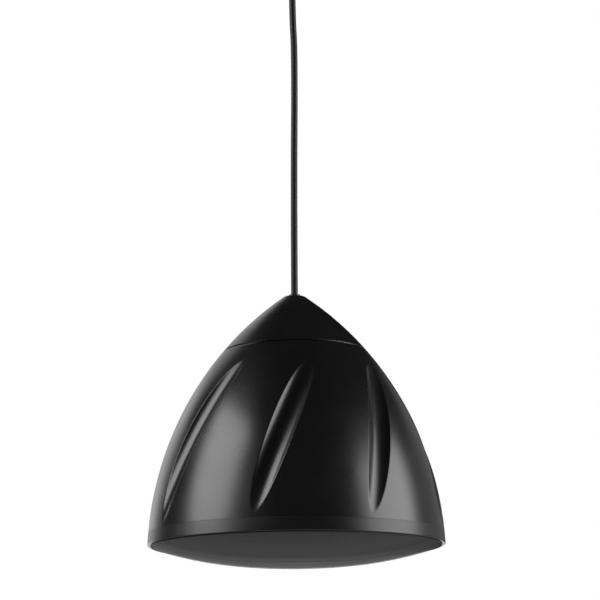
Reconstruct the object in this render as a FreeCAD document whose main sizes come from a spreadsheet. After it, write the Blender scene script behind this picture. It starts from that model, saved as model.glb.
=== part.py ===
import FreeCAD, Part
import math
import os

import Sketcher

# Pendant loudspeaker: an ogive bell with eight slanted scoops, hung by one round
# cord from a ceiling rose, with a coaxial driver behind a domed grille.
# The origin is the middle of the ceiling plate's upper face and +Z is up.
# Levels are counted upwards from the plane of the bell's rim.

os.makedirs("parts", exist_ok=True)
doc = FreeCAD.newDocument("pendant_speaker")
sheet = doc.addObject("Spreadsheet::Sheet", "sizes")

SIZES = {
    # the whole
    "drop": 640,
    "rim_radius": 150,
    "ogive_level": -14,
    "nose_level": 254,
    "nose_radius": 14.25,
    "fit_gap": 0.3,
    "edge_break": 0.7,
    # scoops
    "flute_count": 8,
    "flute_drop": 3.75,
    "flute_margin": 15.9,
    "flute_turn": -25.1,
    "bell_turn": 19.5,
    "flute_lean": 18.3,
    "flute_tube": 18,
    "flute_depth": 6,
    "flute_sweep": 27,
    # bell shell
    "bell_wall": 3.5,
    "band_height": 13,
    "joint_break": 0.2,
    "cap_height": 57.5,
    "seam_gap": 1,
    "deck_drop": 3.5,
    "deck_thickness": 3.5,
    "seam_step": 4,
    "boss_inset": 5,
    "boss_radius": 5.5,
    "boss_turn": -83,
    "boss_top": 42,
    "boss_web": 3,
    "web_level": 20,
    # cap
    "cap_wall": 2.5,
    "nose_rounding": 12,
    "tip_rise": 3.4,
    "tip_radius": 6.9,
    "cap_hole": 6.2,
    "cap_boss_drop": 4,
    "spigot_wall": 2.7,
    "spigot_rise": 1.5,
    "cap_inside_rise": 5.5,
    "grommet_bore": 4.1,
    "grommet_foot": 9,
    "grommet_foot_height": 1.8,
    "grommet_rise": 1.5,
    "grommet_rounding": 0.9,
    # baffle
    "lip_width": 3,
    "lip_break": 0.6,
    "ledge_level": 5,
    "ledge_width": 6,
    "baffle_face": 8,
    "baffle_back": 12,
    "tongue_width": 2.6,
    "tongue_top": 15.5,
    "woofer_hole": 72,
    "screw_hole": 2.1,
    "pilot_hole": 1.8,
    "pilot_top": 34,
    "standoff_radius": 3.2,
    "standoff_height": 6,
    # pan head screws
    "screw_head": 3.6,
    "screw_head_height": 2.2,
    "screw_shank": 1.75,
    "screw_length": 22,
    # grille
    "grille_gap": 1.5,
    "grille_sheet": 1,
    "grille_flange_width": 3.7,
    "grille_straight": -0.2,
    "grille_corner": 5,
    "grille_dome": 662,
    "cloth_thickness": 0.5,
    "cloth_inset": 7.5,
    # bass port
    "port_gap": 0.5,
    "port_turn": 119.5,
    "port_radius": 17,
    "port_wall": 2,
    "port_flange": 21,
    "port_flange_height": 1.5,
    "port_top": 60,
    "port_flare": 3,
    # damping lining
    "lining_thickness": 6,
    "lining_bottom": 44,
    "lining_gap": 21.5,
    # woofer basket
    "flange_width": 10.5,
    "flange_sheet": 1.5,
    "basket_gap": 0.6,
    "basket_step": 13,
    "ledge_ring": 50,
    "spider_level": 36,
    "seat_ring": 43,
    "motor_radius": 36,
    "motor_level": 50,
    "seat_radius": 20,
    "window_count": 6,
    "window_angle": 40,
    "window_bottom": 15.5,
    "window_top": 33,
    "driver_screw_inset": 5.2,
    "driver_screw_count": 4,
    "driver_screw_turn": 45,
    "driver_screw_length": 14,
    # woofer motor
    "top_plate_radius": 40,
    "top_plate_thickness": 6,
    "magnet_radius": 45,
    "magnet_bore": 24,
    "magnet_thickness": 16,
    "back_plate_radius": 43,
    "back_plate_thickness": 6,
    "pole_radius": 12.3,
    "pole_tip": 51,
    "coil_gap_bore": 13.9,
    "post_radius": 3.9,
    "post_fit": 0.05,
    # cone, coil, spider and surround
    "former_radius": 12.8,
    "former_wall": 0.3,
    "former_front": 25,
    "former_back": 57,
    "winding_front": 49.5,
    "winding_back": 56.5,
    "winding_wall": 0.4,
    "cone_neck_level": 30,
    "cone_sheet": 1,
    "cone_rim_width": 4,
    "cone_rim_level": 5.5,
    "surround_land": 0.5,
    "surround_overlap": 1.5,
    "surround_sheet": 0.7,
    "roll_inset": 3.75,
    "roll_radius": 3.05,
    "spider_outer": 48,
    "spider_flat": 43,
    "spider_inner_flat": 16,
    "spider_wave": 1.2,
    "spider_waves": 6,
    "spider_sheet": 0.6,
    "tag_reach": 3,
    "tag_length": 11.6,
    "tag_width": 14,
    "tag_level": 22,
    "tag_sheet": 1.5,
    # tweeter
    "tweeter_front": 6,
    "tweeter_back": 17.5,
    "tweeter_radius": 19,
    "tweeter_cup_wall": 1.5,
    "tweeter_neck": 8,
    "tweeter_neck_back": 22,
    "dome_radius": 9,
    "dome_sphere": 11,
    "dome_rim": 11.5,
    "dome_level": 12,
    "dome_sheet": 0.5,
    "guard_bar": 2,
    "guard_sheet": 1,
    # crossover
    "board_turn": -60.5,
    "board_gap": 7.5,
    "board_radial": 34,
    "board_width": 60,
    "board_thickness": 1.6,
    "board_hole_inset": 4,
    "board_screw_length": 7,
    "choke_radius": 10,
    "choke_bore": 4,
    "choke_height": 13,
    "choke_flange": 11.5,
    "choke_flange_height": 1.2,
    "choke_inset": 15,
    "choke_side": 15,
    "capacitor_radius": 5.5,
    "capacitor_length": 20,
    "capacitor_side": -12,
    "capacitor_inset": 10,
    "capacitor_pitch": 14,
    # hanger
    "bridge_half": 18,
    "bridge_width": 22,
    "bridge_sheet": 2.5,
    "gland_room": 28,
    "bridge_foot": 36,
    "hanger_bolt_reach": 28,
    "hanger_bolt_radius": 2.5,
    "hanger_hole": 2.7,
    "hex_corner": 5,
    "bolt_head_height": 3.5,
    "nut_height": 4,
    "backplate_thickness": 2,
    # cord gland
    "cord_diameter": 7,
    "gland_thread": 7.4,
    "gland_tail": 5,
    "gland_hex": 10,
    "gland_hex_height": 4.5,
    "gland_rise": 14,
    "gland_bore": 3.6,
    "gland_nut_radius": 9.5,
    "gland_nut_rise": 19,
    "gland_nut_rounding": 4,
    "locknut_height": 4.5,
    "ferrule_radius": 5.6,
    "ferrule_length": 10,
    # terminal block
    "terminal_y": 30,
    "terminal_length": 30,
    "terminal_depth": 14,
    "terminal_height": 13,
    "terminal_count": 4,
    "terminal_pitch": 7,
    "terminal_screw": 2,
    "terminal_screw_height": 2.5,
    "terminal_slot": 0.6,
    # power tap switch
    "switch_y": -34,
    "switch_size": 26,
    "switch_height": 18,
    "bush_radius": 4.5,
    "bush_rise": 3.5,
    "switch_nut_corner": 7.5,
    "switch_nut_height": 2.2,
    "shaft_radius": 2.9,
    "shaft_rise": 12,
    "knob_radius": 10.5,
    "knob_skirt": 12,
    "knob_skirt_height": 2,
    "knob_gap": 4,
    "knob_height": 10,
    "knob_ribs": 16,
    "knob_rib": 0.9,
    "knob_mark": 1.2,
    # transformer
    "core_width": 48,
    "core_depth": 24,
    "core_height": 40,
    "core_y": 33,
    "core_limb": 8,
    "window_width": 8,
    "window_height": 24,
    "coil_depth": 40,
    "strap_sheet": 1.2,
    "strap_foot": 13,
    "strap_width": 18,
    "strap_screw": 1.6,
    "strap_screw_length": 8,
    # ceiling rose
    "plate_gap": 3.4,
    "plate_thickness": 2.5,
    "plate_boss": 9,
    "plate_boss_height": 9,
    "mount_reach": 35,
    "mount_hole": 2.6,
    "canopy_radius": 55,
    "canopy_wall": 1.6,
    "canopy_height": 28,
    "canopy_corner": 8,
    "nipple_radius": 5,
    "nipple_bore": 3.9,
    "nipple_gap": 1,
    "nipple_tail": 8.5,
    "grip_radius": 8,
    "grip_height": 12,
    "grip_thread": 6.4,
    "grip_thread_height": 6,
    "grip_nut_height": 10,
    "grip_nut_floor": 3,
    "grip_nut_break": 2,
    "sleeve_length": 10.5,
    # cord route, counted from the rim's plane
    "cord_straight": 352,
    "cord_bow_level": 520,
    "cord_bow": 2.4,
    "cord_grip_level": 566,
    "cord_top": 636,
    # leads
    "core_wire": 1.3,
    "lead_radius": 1.8,
    "deck_lead_x": 30,
    "deck_lead_y": 18,
    "deck_lead_hole": 2.6,
}


class Size:
    """A number that also knows the sheet expression it comes from."""

    def __init__(self, value, text):
        self.value = float(value)
        self.text = text

    def join(self, other, sign, result):
        return Size(result, f"({self.text} {sign} {as_size(other).text})")

    def __add__(self, other):
        return self.join(other, "+", self.value + as_size(other).value)

    def __radd__(self, other):
        return as_size(other) + self

    def __sub__(self, other):
        return self.join(other, "-", self.value - as_size(other).value)

    def __rsub__(self, other):
        return as_size(other) - self

    def __mul__(self, other):
        return self.join(other, "*", self.value * as_size(other).value)

    def __rmul__(self, other):
        return as_size(other) * self

    def __truediv__(self, other):
        return self.join(other, "/", self.value / as_size(other).value)

    def __rtruediv__(self, other):
        return as_size(other) / self

    def __neg__(self):
        return as_size(0) - self


def as_size(number):
    return number if isinstance(number, Size) else Size(number, repr(float(number)))


def root(size):
    return Size(math.sqrt(size.value), f"sqrt({size.text})")


def cosine(size):
    size = as_size(size)
    return Size(math.cos(math.radians(size.value)), f"cos({size.text})")


def sine(size):
    size = as_size(size)
    return Size(math.sin(math.radians(size.value)), f"sin({size.text})")


def arcsine(size):
    return Size(math.degrees(math.asin(size.value)), f"(asin({size.text}) / 1deg)")


for row, (alias, number) in enumerate(SIZES.items(), 1):
    sheet.set(f"A{row}", alias)
    sheet.set(f"B{row}", str(number))
    sheet.setAlias(f"B{row}", alias)
doc.recompute()
S = {alias: Size(sheet.get(alias), f"sizes.{alias}") for alias in SIZES}


def squared(size):
    return size * size


# Sizes that follow from others: what seats in, passes through or lines up with a piece.
# The bell's arc runs through its rim and through the nose of the cap.
OGIVE_BANDS = 6
nose_rise = S["nose_level"] - S["ogive_level"]
narrowing = S["rim_radius"] - S["nose_radius"]
arc_reach = ((squared(nose_rise) - squared(S["ogive_level"])) / narrowing + narrowing) / 2
S["ogive_radius"] = root(squared(arc_reach) + squared(S["ogive_level"]))
ogive_centre = S["rim_radius"] - arc_reach


def ogive(level, inset=0):
    """Radius of the bell's arc at a level, or of the arc that lies inset inside it."""
    arc = S["ogive_radius"] - inset
    rise = level - S["ogive_level"]
    return ogive_centre + root(arc * arc - rise * rise)


def ogive_arc(low, high, inset=0):
    """Corners of the bell's arc from a low level up to just under a high one, in bands."""
    radius = S["ogive_radius"] - inset
    step = (high - low) / OGIVE_BANDS
    levels = [low + step * band for band in range(OGIVE_BANDS)]
    return [(ogive(level, inset), level, radius) for level in levels]


S["seam_level"] = S["nose_level"] - S["cap_height"]
S["deck_level"] = S["seam_level"] - S["deck_drop"]
S["recess_radius"] = ogive(S["seam_level"]) - S["seam_step"]
S["tip_level"] = S["nose_level"] + S["tip_rise"]
S["grommet_top"] = S["tip_level"] + S["grommet_rise"]
S["cap_boss_level"] = S["nose_level"] - S["cap_boss_drop"]
S["bridge_level"] = S["cap_boss_level"] - S["gland_room"]
S["gland_bottom"] = S["bridge_level"] - S["gland_tail"]
S["gland_top"] = S["bridge_level"] + S["gland_rise"]
S["gland_nut_top"] = S["bridge_level"] + S["gland_nut_rise"]
S["bush_top"] = S["deck_level"] + S["bush_rise"]
S["knob_bottom"] = S["deck_level"] + S["knob_gap"]
S["knob_top"] = S["knob_bottom"] + S["knob_height"]
S["shaft_top"] = S["deck_level"] + S["shaft_rise"]

# A scoop reaches to a margin from the baffle's joint and from the cap's joint. Its ring
# is the wall's own curve along the scoop, flattened by the depth over that reach.
S["flute_level"] = (S["seam_level"] + S["band_height"]) / 2 - S["flute_drop"]
flute_sine = (S["flute_level"] - S["ogive_level"]) / S["ogive_radius"]
flute_cosine = root(1 - squared(flute_sine))
flute_span = (S["seam_level"] - S["band_height"]) / (2 * flute_cosine * cosine(S["flute_lean"]))
flute_curve = (squared(cosine(S["flute_lean"])) / S["ogive_radius"]
               + squared(sine(S["flute_lean"])) * flute_cosine / ogive(S["flute_level"]))
flute_flattening = 2 * S["flute_depth"] / squared(flute_span - S["flute_margin"])
S["flute_ring"] = 1 / (flute_curve - flute_flattening)

S["recess"] = S["rim_radius"] - S["lip_width"]
S["ledge_radius"] = S["recess"] - S["ledge_width"]
S["boss_circle"] = S["ledge_radius"] - S["boss_inset"]
S["grille_radius"] = S["recess"] - S["grille_gap"]
S["grille_flange"] = S["grille_radius"] - S["grille_flange_width"]
S["cloth_radius"] = S["grille_radius"] - S["cloth_inset"]

S["flange_radius"] = S["woofer_hole"] + S["flange_width"]
S["basket_radius"] = S["woofer_hole"] - S["basket_gap"]
S["driver_screw_circle"] = S["flange_radius"] - S["driver_screw_inset"]
S["roll_middle"] = S["woofer_hole"] - S["roll_inset"]
S["surround_outer"] = S["woofer_hole"] + S["surround_overlap"]
S["cone_rim"] = S["roll_middle"] - S["roll_radius"] - S["surround_sheet"]
S["cone_mouth"] = S["cone_rim"] - S["cone_rim_width"]
S["surround_inner"] = S["cone_mouth"] + S["surround_land"]
S["tag_outer"] = S["woofer_hole"] + S["tag_reach"]
S["tag_inner"] = S["tag_outer"] - S["tag_length"]
S["port_circle"] = S["flange_radius"] + S["port_flange"] + S["port_gap"]
S["board_inner"] = S["flange_radius"] + S["board_gap"]
S["choke_reach"] = S["board_inner"] + S["choke_inset"]
S["capacitor_reach"] = S["board_inner"] + S["capacitor_inset"]

S["plate_radius"] = S["canopy_radius"] - S["canopy_wall"] - S["plate_gap"]
S["nipple_bottom"] = S["canopy_height"] + S["nipple_tail"]
S["nipple_length"] = S["nipple_bottom"] - S["nipple_gap"]
S["cord_bottom"] = S["gland_bottom"] - S["ferrule_length"]


def bind(thing, prop, size):
    thing.setExpression(prop, as_size(size).text)


def place(thing, x=0, y=0, level=0, turn=None):
    """Put a piece at x, y and a level above the rim's plane."""
    bind(thing, ".Placement.Base.x", x)
    bind(thing, ".Placement.Base.y", y)
    bind(thing, ".Placement.Base.z", as_size(level) - S["drop"])
    if turn is not None:
        bind(thing, ".Placement.Rotation.Yaw", turn)


def polar(radius, turn):
    return radius * cosine(turn), radius * sine(turn)


def origin_part(body, role):
    return next(part for part in body.Origin.OriginFeatures if part.Role == role)


def body_of(name):
    body = doc.addObject("PartDesign::Body", name)
    body.AllowCompound = True
    return body


def sketch_on(body, role, level=None):
    sketch = body.newObject("Sketcher::SketchObject", f"{body.Name}_sketch")
    sketch.AttachmentSupport = [(origin_part(body, role), "")]
    sketch.MapMode = "FlatFace"
    if level is not None:
        bind(sketch, ".AttachmentOffset.Base.z", level)
    return sketch


def constrain(sketch, kind, *terms):
    """Add a constraint whose last term is a size, and bind it."""
    size = as_size(terms[-1])
    index = sketch.addConstraint(Sketcher.Constraint(kind, *terms[:-1], size.value))
    if "sizes." in size.text:
        sketch.setExpression(f"Constraints[{index}]", size.text)


def arc_centre(start, end, radius, left):
    """Centre of the arc from start to end, on the left or right of the way there."""
    middle = (start + end) * 0.5
    half = (end - start) * 0.5
    reach = math.sqrt(max(radius * radius - half.Length ** 2, 0)) / half.Length
    side = FreeCAD.Vector(-half.y, half.x, 0) * reach
    return middle + side if left else middle - side


def outline(sketch, corners):
    """Close a chain of lines and arcs.

    A corner is (x, y), or (x, y, radius) when the edge leaving it is an arc. A
    positive radius has its centre on the left of the way, a negative one on the right.
    """
    points = [FreeCAD.Vector(as_size(c[0]).value, as_size(c[1]).value, 0) for c in corners]
    ends = []
    for index, corner in enumerate(corners):
        start = points[index]
        end = points[(index + 1) % len(points)]
        if len(corner) == 2:
            edge = sketch.addGeometry(Part.LineSegment(start, end), False)
            ends.append((edge, 1, 2))
            continue
        left = as_size(corner[2]).value > 0
        size = corner[2] if left else -corner[2]
        centre = arc_centre(start, end, size.value, left)
        circle = Part.Circle(centre, FreeCAD.Vector(0, 0, 1), size.value)
        angles = [math.atan2(p.y - centre.y, p.x - centre.x) for p in (start, end)]
        if not left:
            angles.reverse()
        edge = sketch.addGeometry(Part.ArcOfCircle(circle, *angles), False)
        ends.append((edge, 1, 2) if left else (edge, 2, 1))
        constrain(sketch, "Radius", edge, size)
    for index, (edge, first, last) in enumerate(ends):
        following = ends[(index + 1) % len(ends)]
        link = Sketcher.Constraint("Coincident", edge, last, following[0], following[1])
        sketch.addConstraint(link)
        x, y = corners[index][0], corners[index][1]
        if as_size(x).value == 0:
            sketch.addConstraint(Sketcher.Constraint("PointOnObject", edge, first, -2))
        else:
            constrain(sketch, "DistanceX", -1, 1, edge, first, x)
        constrain(sketch, "DistanceY", -1, 1, edge, first, y)


def circles(sketch, places):
    """Add circles given as (x, y, radius)."""
    for x, y, radius in places:
        centre = FreeCAD.Vector(as_size(x).value, as_size(y).value, 0)
        ring = Part.Circle(centre, FreeCAD.Vector(0, 0, 1), as_size(radius).value)
        index = sketch.addGeometry(ring, False)
        constrain(sketch, "Radius", index, radius)
        constrain(sketch, "DistanceX", -1, 1, index, 3, x)
        constrain(sketch, "DistanceY", -1, 1, index, 3, y)


def finish(body, feature):
    body.Tip = feature
    return feature


def turn(body, corners, kind="Revolution", angle=None):
    """Revolve a half section, given as (radius, level), about the body's Z axis."""
    sketch = sketch_on(body, "XZ_Plane")
    outline(sketch, corners)
    feature = body.newObject(f"PartDesign::{kind}", f"{body.Name}_{kind.lower()}")
    feature.Profile = sketch
    feature.ReferenceAxis = (sketch, ["V_Axis"])
    feature.Angle = 360
    if angle is not None:
        feature.Midplane = True
        bind(feature, "Angle", angle)
    return finish(body, feature)


def pad(body, draw, level, height, kind="Pad", role="XY_Plane", both=False):
    """Pad upwards from a level, or pocket downwards from it."""
    sketch = sketch_on(body, role, level)
    draw(sketch)
    feature = body.newObject(f"PartDesign::{kind}", f"{body.Name}_{kind.lower()}")
    feature.Profile = sketch
    bind(feature, "Length", height)
    if both:
        feature.Midplane = True
    return finish(body, feature)


def rectangle(x, y, width, depth):
    """Drawing of a rectangle about a middle point."""
    left, right = x - width / 2, x + width / 2
    front, back = y - depth / 2, y + depth / 2
    corners = [(left, front), (right, front), (right, back), (left, back)]
    return lambda sketch: outline(sketch, corners)


def hexagon(x, y, corner):
    points = [(x + corner * cosine(60 * k), y + corner * sine(60 * k)) for k in range(6)]
    return lambda sketch: outline(sketch, points)


def discs(*places):
    return lambda sketch: circles(sketch, places)


def around(body, features, count):
    """Repeat features about the body's Z axis."""
    doc.recompute()
    feature = body.newObject("PartDesign::PolarPattern", f"{body.Name}_pattern")
    feature.Originals = features
    feature.Axis = (origin_part(body, "Z_Axis"), [""])
    feature.Angle = 360
    bind(feature, "Occurrences", count)
    return finish(body, feature)


def turned(name, corners, level=0, x=0, y=0):
    body = body_of(name)
    turn(body, corners)
    place(body, x, y, level)
    return body


def ring(outer, inner, bottom, top):
    """Half section of a plain ring."""
    return [(inner, bottom), (outer, bottom), (outer, top), (inner, top)]


NODES = []


def keep(thing, name=None):
    """Enter a finished piece under its own name."""
    thing.Label = name or thing.Name
    NODES.append(thing)
    return thing


def joined(kind, name, base, tool):
    thing = doc.addObject(f"Part::{kind}", name)
    thing.Base = base
    thing.Tool = tool
    return thing


def tube(points, radius):
    """Round tube along straight runs joined by tangent arcs, with its smallest arc.

    Each arc's radius is 0.45 of its shorter run over the tangent of half the turn.
    """
    points = [FreeCAD.Vector(*[as_size(c).value for c in p]) for p in points]
    points = [p - FreeCAD.Vector(0, 0, S["drop"].value) for p in points]
    edges, at, radii = [], points[0], []
    for before, corner, after in zip(points, points[1:], points[2:]):
        inward = (corner - before).normalize()
        outward = (after - corner).normalize()
        half = inward.getAngle(outward) / 2
        reach = 0.45 * min(corner.distanceToPoint(before), corner.distanceToPoint(after))
        bend = reach / math.tan(half)
        radii.append(bend)
        first, last = corner - inward * reach, corner + outward * reach
        towards = (outward - inward).normalize()
        middle = corner + towards * (bend / math.cos(half) - bend)
        edges.append(Part.LineSegment(at, first).toShape())
        edges.append(Part.Arc(first, middle, last).toShape())
        at = last
    edges.append(Part.LineSegment(at, points[-1]).toShape())
    path = Part.Wire(edges)
    section = Part.Wire([Part.Circle(points[0], points[1] - points[0], radius.value).toShape()])
    solid = path.makePipeShell([section], True, True)
    expected = math.pi * radius.value ** 2 * path.Length
    if abs(solid.Volume / expected - 1) > 0.01:
        raise RuntimeError(f"tube volume {solid.Volume:.0f} is not {expected:.0f}")
    print(f"tube {path.Length:.1f} long, arc radii {[round(r, 1) for r in radii]}")
    return solid


def lead(name, routes, radius):
    """A node of one or more round wires along their routes."""
    feature = doc.addObject("Part::Feature", name)
    solids = [tube(route, radius) for route in routes]
    feature.Shape = solids[0] if len(solids) == 1 else Part.Compound(solids)
    return keep(feature)


def pan_screw(body, x, y, level, length, up=True, shank=None, head=None):
    """Turned screw on its own axis: head at a level, shank beyond it."""
    shank = shank or S["screw_shank"]
    head = head or S["screw_head"]
    sign = 1 if up else -1
    rise = S["screw_head_height"]
    sketch = sketch_on(body, "XZ_Plane", -y)
    half = head * 0.7
    corners = [
        (x, level - sign * rise), (x + half, level - sign * rise), (x + head, level - sign * rise / 2),
        (x + head, level), (x + shank, level), (x + shank, level + sign * (length - shank)),
        (x, level + sign * length)]
    outline(sketch, corners if up else corners[::-1])
    axis = sketch.addGeometry(Part.LineSegment(
        FreeCAD.Vector(as_size(x).value, 0, 0), FreeCAD.Vector(as_size(x).value, 10, 0)), True)
    sketch.addConstraint(Sketcher.Constraint("Vertical", axis))
    constrain(sketch, "DistanceX", -1, 1, axis, 1, x)
    screw = body.newObject("PartDesign::Revolution", f"{body.Name}_turned")
    screw.Profile = sketch
    screw.ReferenceAxis = (sketch, ["Axis0"])
    screw.Angle = 360
    finish(body, screw)
    return screw


# Bell shell. The outer form is a solid of revolution whose meridian is one arc,
# with a chamfered joint at the bottom and a recessed deck at the top.

def scoop(body, radius):
    """Cut one scoop: a round tube swept on a large ring, sunk into the bell.

    The sketch plane stands across the scoop at its middle, with its x axis along the
    bell's normal there, so the ring's axis is a line parallel to the sketch's y axis.
    """
    slope = arcsine((S["flute_level"] - S["ogive_level"]) / S["ogive_radius"])
    reach = ogive(S["flute_level"])
    sketch = body.newObject("Sketcher::SketchObject", f"{body.Name}_scoop_sketch")
    sketch.AttachmentSupport = [(origin_part(body, "XY_Plane"), "")]
    sketch.MapMode = "FlatFace"
    x, y = polar(reach, S["flute_turn"])
    bind(sketch, ".AttachmentOffset.Base.x", x)
    bind(sketch, ".AttachmentOffset.Base.y", y)
    bind(sketch, ".AttachmentOffset.Base.z", S["flute_level"])
    bind(sketch, ".AttachmentOffset.Rotation.Yaw", S["flute_turn"])
    bind(sketch, ".AttachmentOffset.Rotation.Pitch", -slope)
    bind(sketch, ".AttachmentOffset.Rotation.Roll", -S["flute_lean"])
    middle = S["flute_tube"] - S["flute_depth"]
    circles(sketch, [(middle, 0, radius)])
    far = (middle - S["flute_ring"])
    axis = sketch.addGeometry(Part.LineSegment(
        FreeCAD.Vector(far.value, 0, 0), FreeCAD.Vector(far.value, 10, 0)), True)
    sketch.addConstraint(Sketcher.Constraint("Vertical", axis))
    constrain(sketch, "DistanceX", -1, 1, axis, 1, far)
    groove = body.newObject("PartDesign::Groove", f"{body.Name}_scoop")
    groove.Profile = sketch
    groove.ReferenceAxis = (sketch, ["Axis0"])
    groove.Midplane = True
    bind(groove, "Angle", S["flute_sweep"])
    finish(body, groove)
    return around(body, [groove], S["flute_count"])


band, seam, deck = S["band_height"], S["seam_level"], S["deck_level"]
edge, joint = S["edge_break"], S["joint_break"]
outer = body_of("bell_outer")
turn(outer, [
    (0, band), (ogive(band) - joint, band), *ogive_arc(band + joint, seam - edge),
    (ogive(seam - edge), seam - edge), (ogive(seam) - edge, seam), (S["recess_radius"], seam),
    (S["recess_radius"], deck), (0, deck)])
scoop(outer, S["flute_tube"])

under_deck = deck - S["deck_thickness"]
inner = body_of("bell_inner")
turn(inner, [
    (0, S["baffle_back"]), *ogive_arc(S["baffle_back"], under_deck, S["bell_wall"]),
    (ogive(under_deck, S["bell_wall"]), under_deck), (0, under_deck)])
scoop(inner, S["flute_tube"] + S["bell_wall"])
for form in (outer, inner):
    place(form, turn=S["bell_turn"])

# Eight screw bosses with a web to the wall, halfway between the scoops' lower tips.
bosses = body_of("bell_bosses")
boss_x, boss_y = S["boss_circle"], as_size(0)
boss = pad(bosses, discs((boss_x, boss_y, S["boss_radius"])), S["baffle_back"],
           S["boss_top"] - S["baffle_back"])
web_reach = S["rim_radius"] - S["boss_circle"]
web = pad(bosses, rectangle(boss_x + web_reach / 2, boss_y, web_reach, S["boss_web"]),
          S["web_level"], S["boss_top"] - S["web_level"])
around(bosses, [boss, web], S["flute_count"])
place(bosses, turn=S["boss_turn"])

drills = body_of("bell_drills")
pilot = pad(drills, discs((boss_x, boss_y, S["pilot_hole"])), S["baffle_back"] - 1,
            S["pilot_top"] - S["baffle_back"] + 1)
around(drills, [pilot], S["flute_count"])
place(drills, turn=S["boss_turn"])
deck_drills = body_of("deck_drills")
strap_reach = S["core_width"] / 2 + S["strap_sheet"] + S["strap_foot"] / 2
pad(deck_drills, discs(
    (S["hanger_bolt_reach"], 0, S["hanger_hole"]), (-S["hanger_bolt_reach"], 0, S["hanger_hole"]),
    (0, S["switch_y"], S["bush_radius"]), (S["deck_lead_x"], S["deck_lead_y"], S["deck_lead_hole"]),
    (strap_reach, S["core_y"], S["strap_screw"]), (-strap_reach, S["core_y"], S["strap_screw"])),
    under_deck - 1, S["deck_thickness"] + 2)
place(deck_drills)

hollow = joined("Cut", "bell_hollow", outer, inner)
trimmed = joined("Common", "bell_bosses_trimmed", bosses, outer)
ribbed = joined("Fuse", "bell_ribbed", hollow, trimmed)
drilled = joined("Cut", "bell_drilled", ribbed, drills)
keep(joined("Cut", "bell_shell", drilled, deck_drills))

# Cap over the cord gland, and the rubber collar in its tip.
cap_foot = seam + S["seam_gap"]
cap_inside = cap_foot + S["cap_inside_rise"]
spigot = S["recess_radius"] - S["fit_gap"] - S["spigot_wall"]
keep(turned("top_cap", [
    (spigot, deck), (S["recess_radius"] - S["fit_gap"], deck),
    (S["recess_radius"] - S["fit_gap"], cap_foot), (ogive(cap_foot) - edge, cap_foot),
    (ogive(cap_foot + edge), cap_foot + edge, S["ogive_radius"]),
    (ogive(S["nose_level"]), S["nose_level"], S["nose_rounding"]),
    (S["tip_radius"], S["tip_level"]), (S["cap_hole"], S["tip_level"]),
    (S["cap_hole"], S["cap_boss_level"]),
    (ogive(S["cap_boss_level"], S["cap_wall"]), S["cap_boss_level"],
     -(S["ogive_radius"] - S["cap_wall"])),
    (ogive(cap_inside, S["cap_wall"]), cap_inside),
    (spigot, cap_foot + S["spigot_rise"])]))
collar_edge = S["grommet_rounding"]
foot_level = S["cap_boss_level"]
keep(turned("cap_grommet", [
    (S["grommet_bore"], foot_level - S["grommet_foot_height"]),
    (S["grommet_foot"], foot_level - S["grommet_foot_height"]),
    (S["grommet_foot"], foot_level), (S["cap_hole"], foot_level),
    (S["cap_hole"], S["grommet_top"] - collar_edge, collar_edge),
    (S["cap_hole"] - collar_edge, S["grommet_top"]), (S["grommet_bore"], S["grommet_top"])]))

# Baffle: rim band, grille recess, plate and tongue in one moulding.
face, back = S["baffle_face"], S["baffle_back"]
recess = S["recess"]
tongue = ogive(band, S["bell_wall"]) - S["fit_gap"]
lip = S["lip_break"]
baffle = body_of("baffle")
turn(baffle, [
    (S["woofer_hole"], face), (S["ledge_radius"], face), (S["ledge_radius"], S["ledge_level"]),
    (recess, S["ledge_level"]), (recess, 0), (S["rim_radius"] - lip, 0, lip), (ogive(lip), lip, S["ogive_radius"]),
    (ogive(band - joint), band - joint), (ogive(band) - joint, band), (tongue, band),
    (tongue, S["tongue_top"]), (tongue - S["tongue_width"], S["tongue_top"]),
    (tongue - S["tongue_width"], back), (S["woofer_hole"], back)])
near = S["board_inner"] + S["board_hole_inset"]
off = S["board_inner"] + S["board_radial"] - S["board_hole_inset"]
side = S["board_width"] / 2 - S["board_hole_inset"]


def board_frame(x, y):
    """Turn a point of the crossover board's own frame to the baffle's frame."""
    c, s = cosine(S["board_turn"]), sine(S["board_turn"])
    return x * c - y * s, x * s + y * c


corners = [board_frame(x, y) for x in (near, off) for y in (side, -side)]
pad(baffle, discs(*[(x, y, S["standoff_radius"]) for x, y in corners]), back, S["standoff_height"])
pad(baffle, discs(*[(x, y, S["screw_shank"]) for x, y in corners]),
    back + S["standoff_height"], S["standoff_height"], "Pocket")
port_x, port_y = polar(S["port_circle"], S["port_turn"])
plate = back - face
pad(baffle, discs((port_x, port_y, S["port_radius"] + S["port_wall"])), back, plate, "Pocket")
hole_x, hole_y = polar(S["boss_circle"], S["boss_turn"])
hole = pad(baffle, discs((hole_x, hole_y, S["screw_hole"])), back, plate, "Pocket")
around(baffle, [hole], S["flute_count"])
hole_x, hole_y = polar(S["driver_screw_circle"], S["driver_screw_turn"])
hole = pad(baffle, discs((hole_x, hole_y, S["screw_shank"])), back, plate, "Pocket")
around(baffle, [hole], S["driver_screw_count"])
place(baffle)
keep(baffle)

screws = body_of("baffle_screws")
screw = pan_screw(screws, S["boss_circle"], 0, face, S["screw_length"])
around(screws, [screw], S["flute_count"])
place(screws, turn=S["boss_turn"])
keep(screws)

keep(turned("bass_port", [
    (S["port_radius"], S["port_top"]), (S["port_radius"], face + S["port_flare"]),
    (S["port_radius"] + S["port_flare"] / 2, face - S["port_flange_height"]),
    (S["port_flange"], face - S["port_flange_height"]), (S["port_flange"], face),
    (S["port_radius"] + S["port_wall"], face),
    (S["port_radius"] + S["port_wall"], S["port_top"])], x=port_x, y=port_y))

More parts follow.
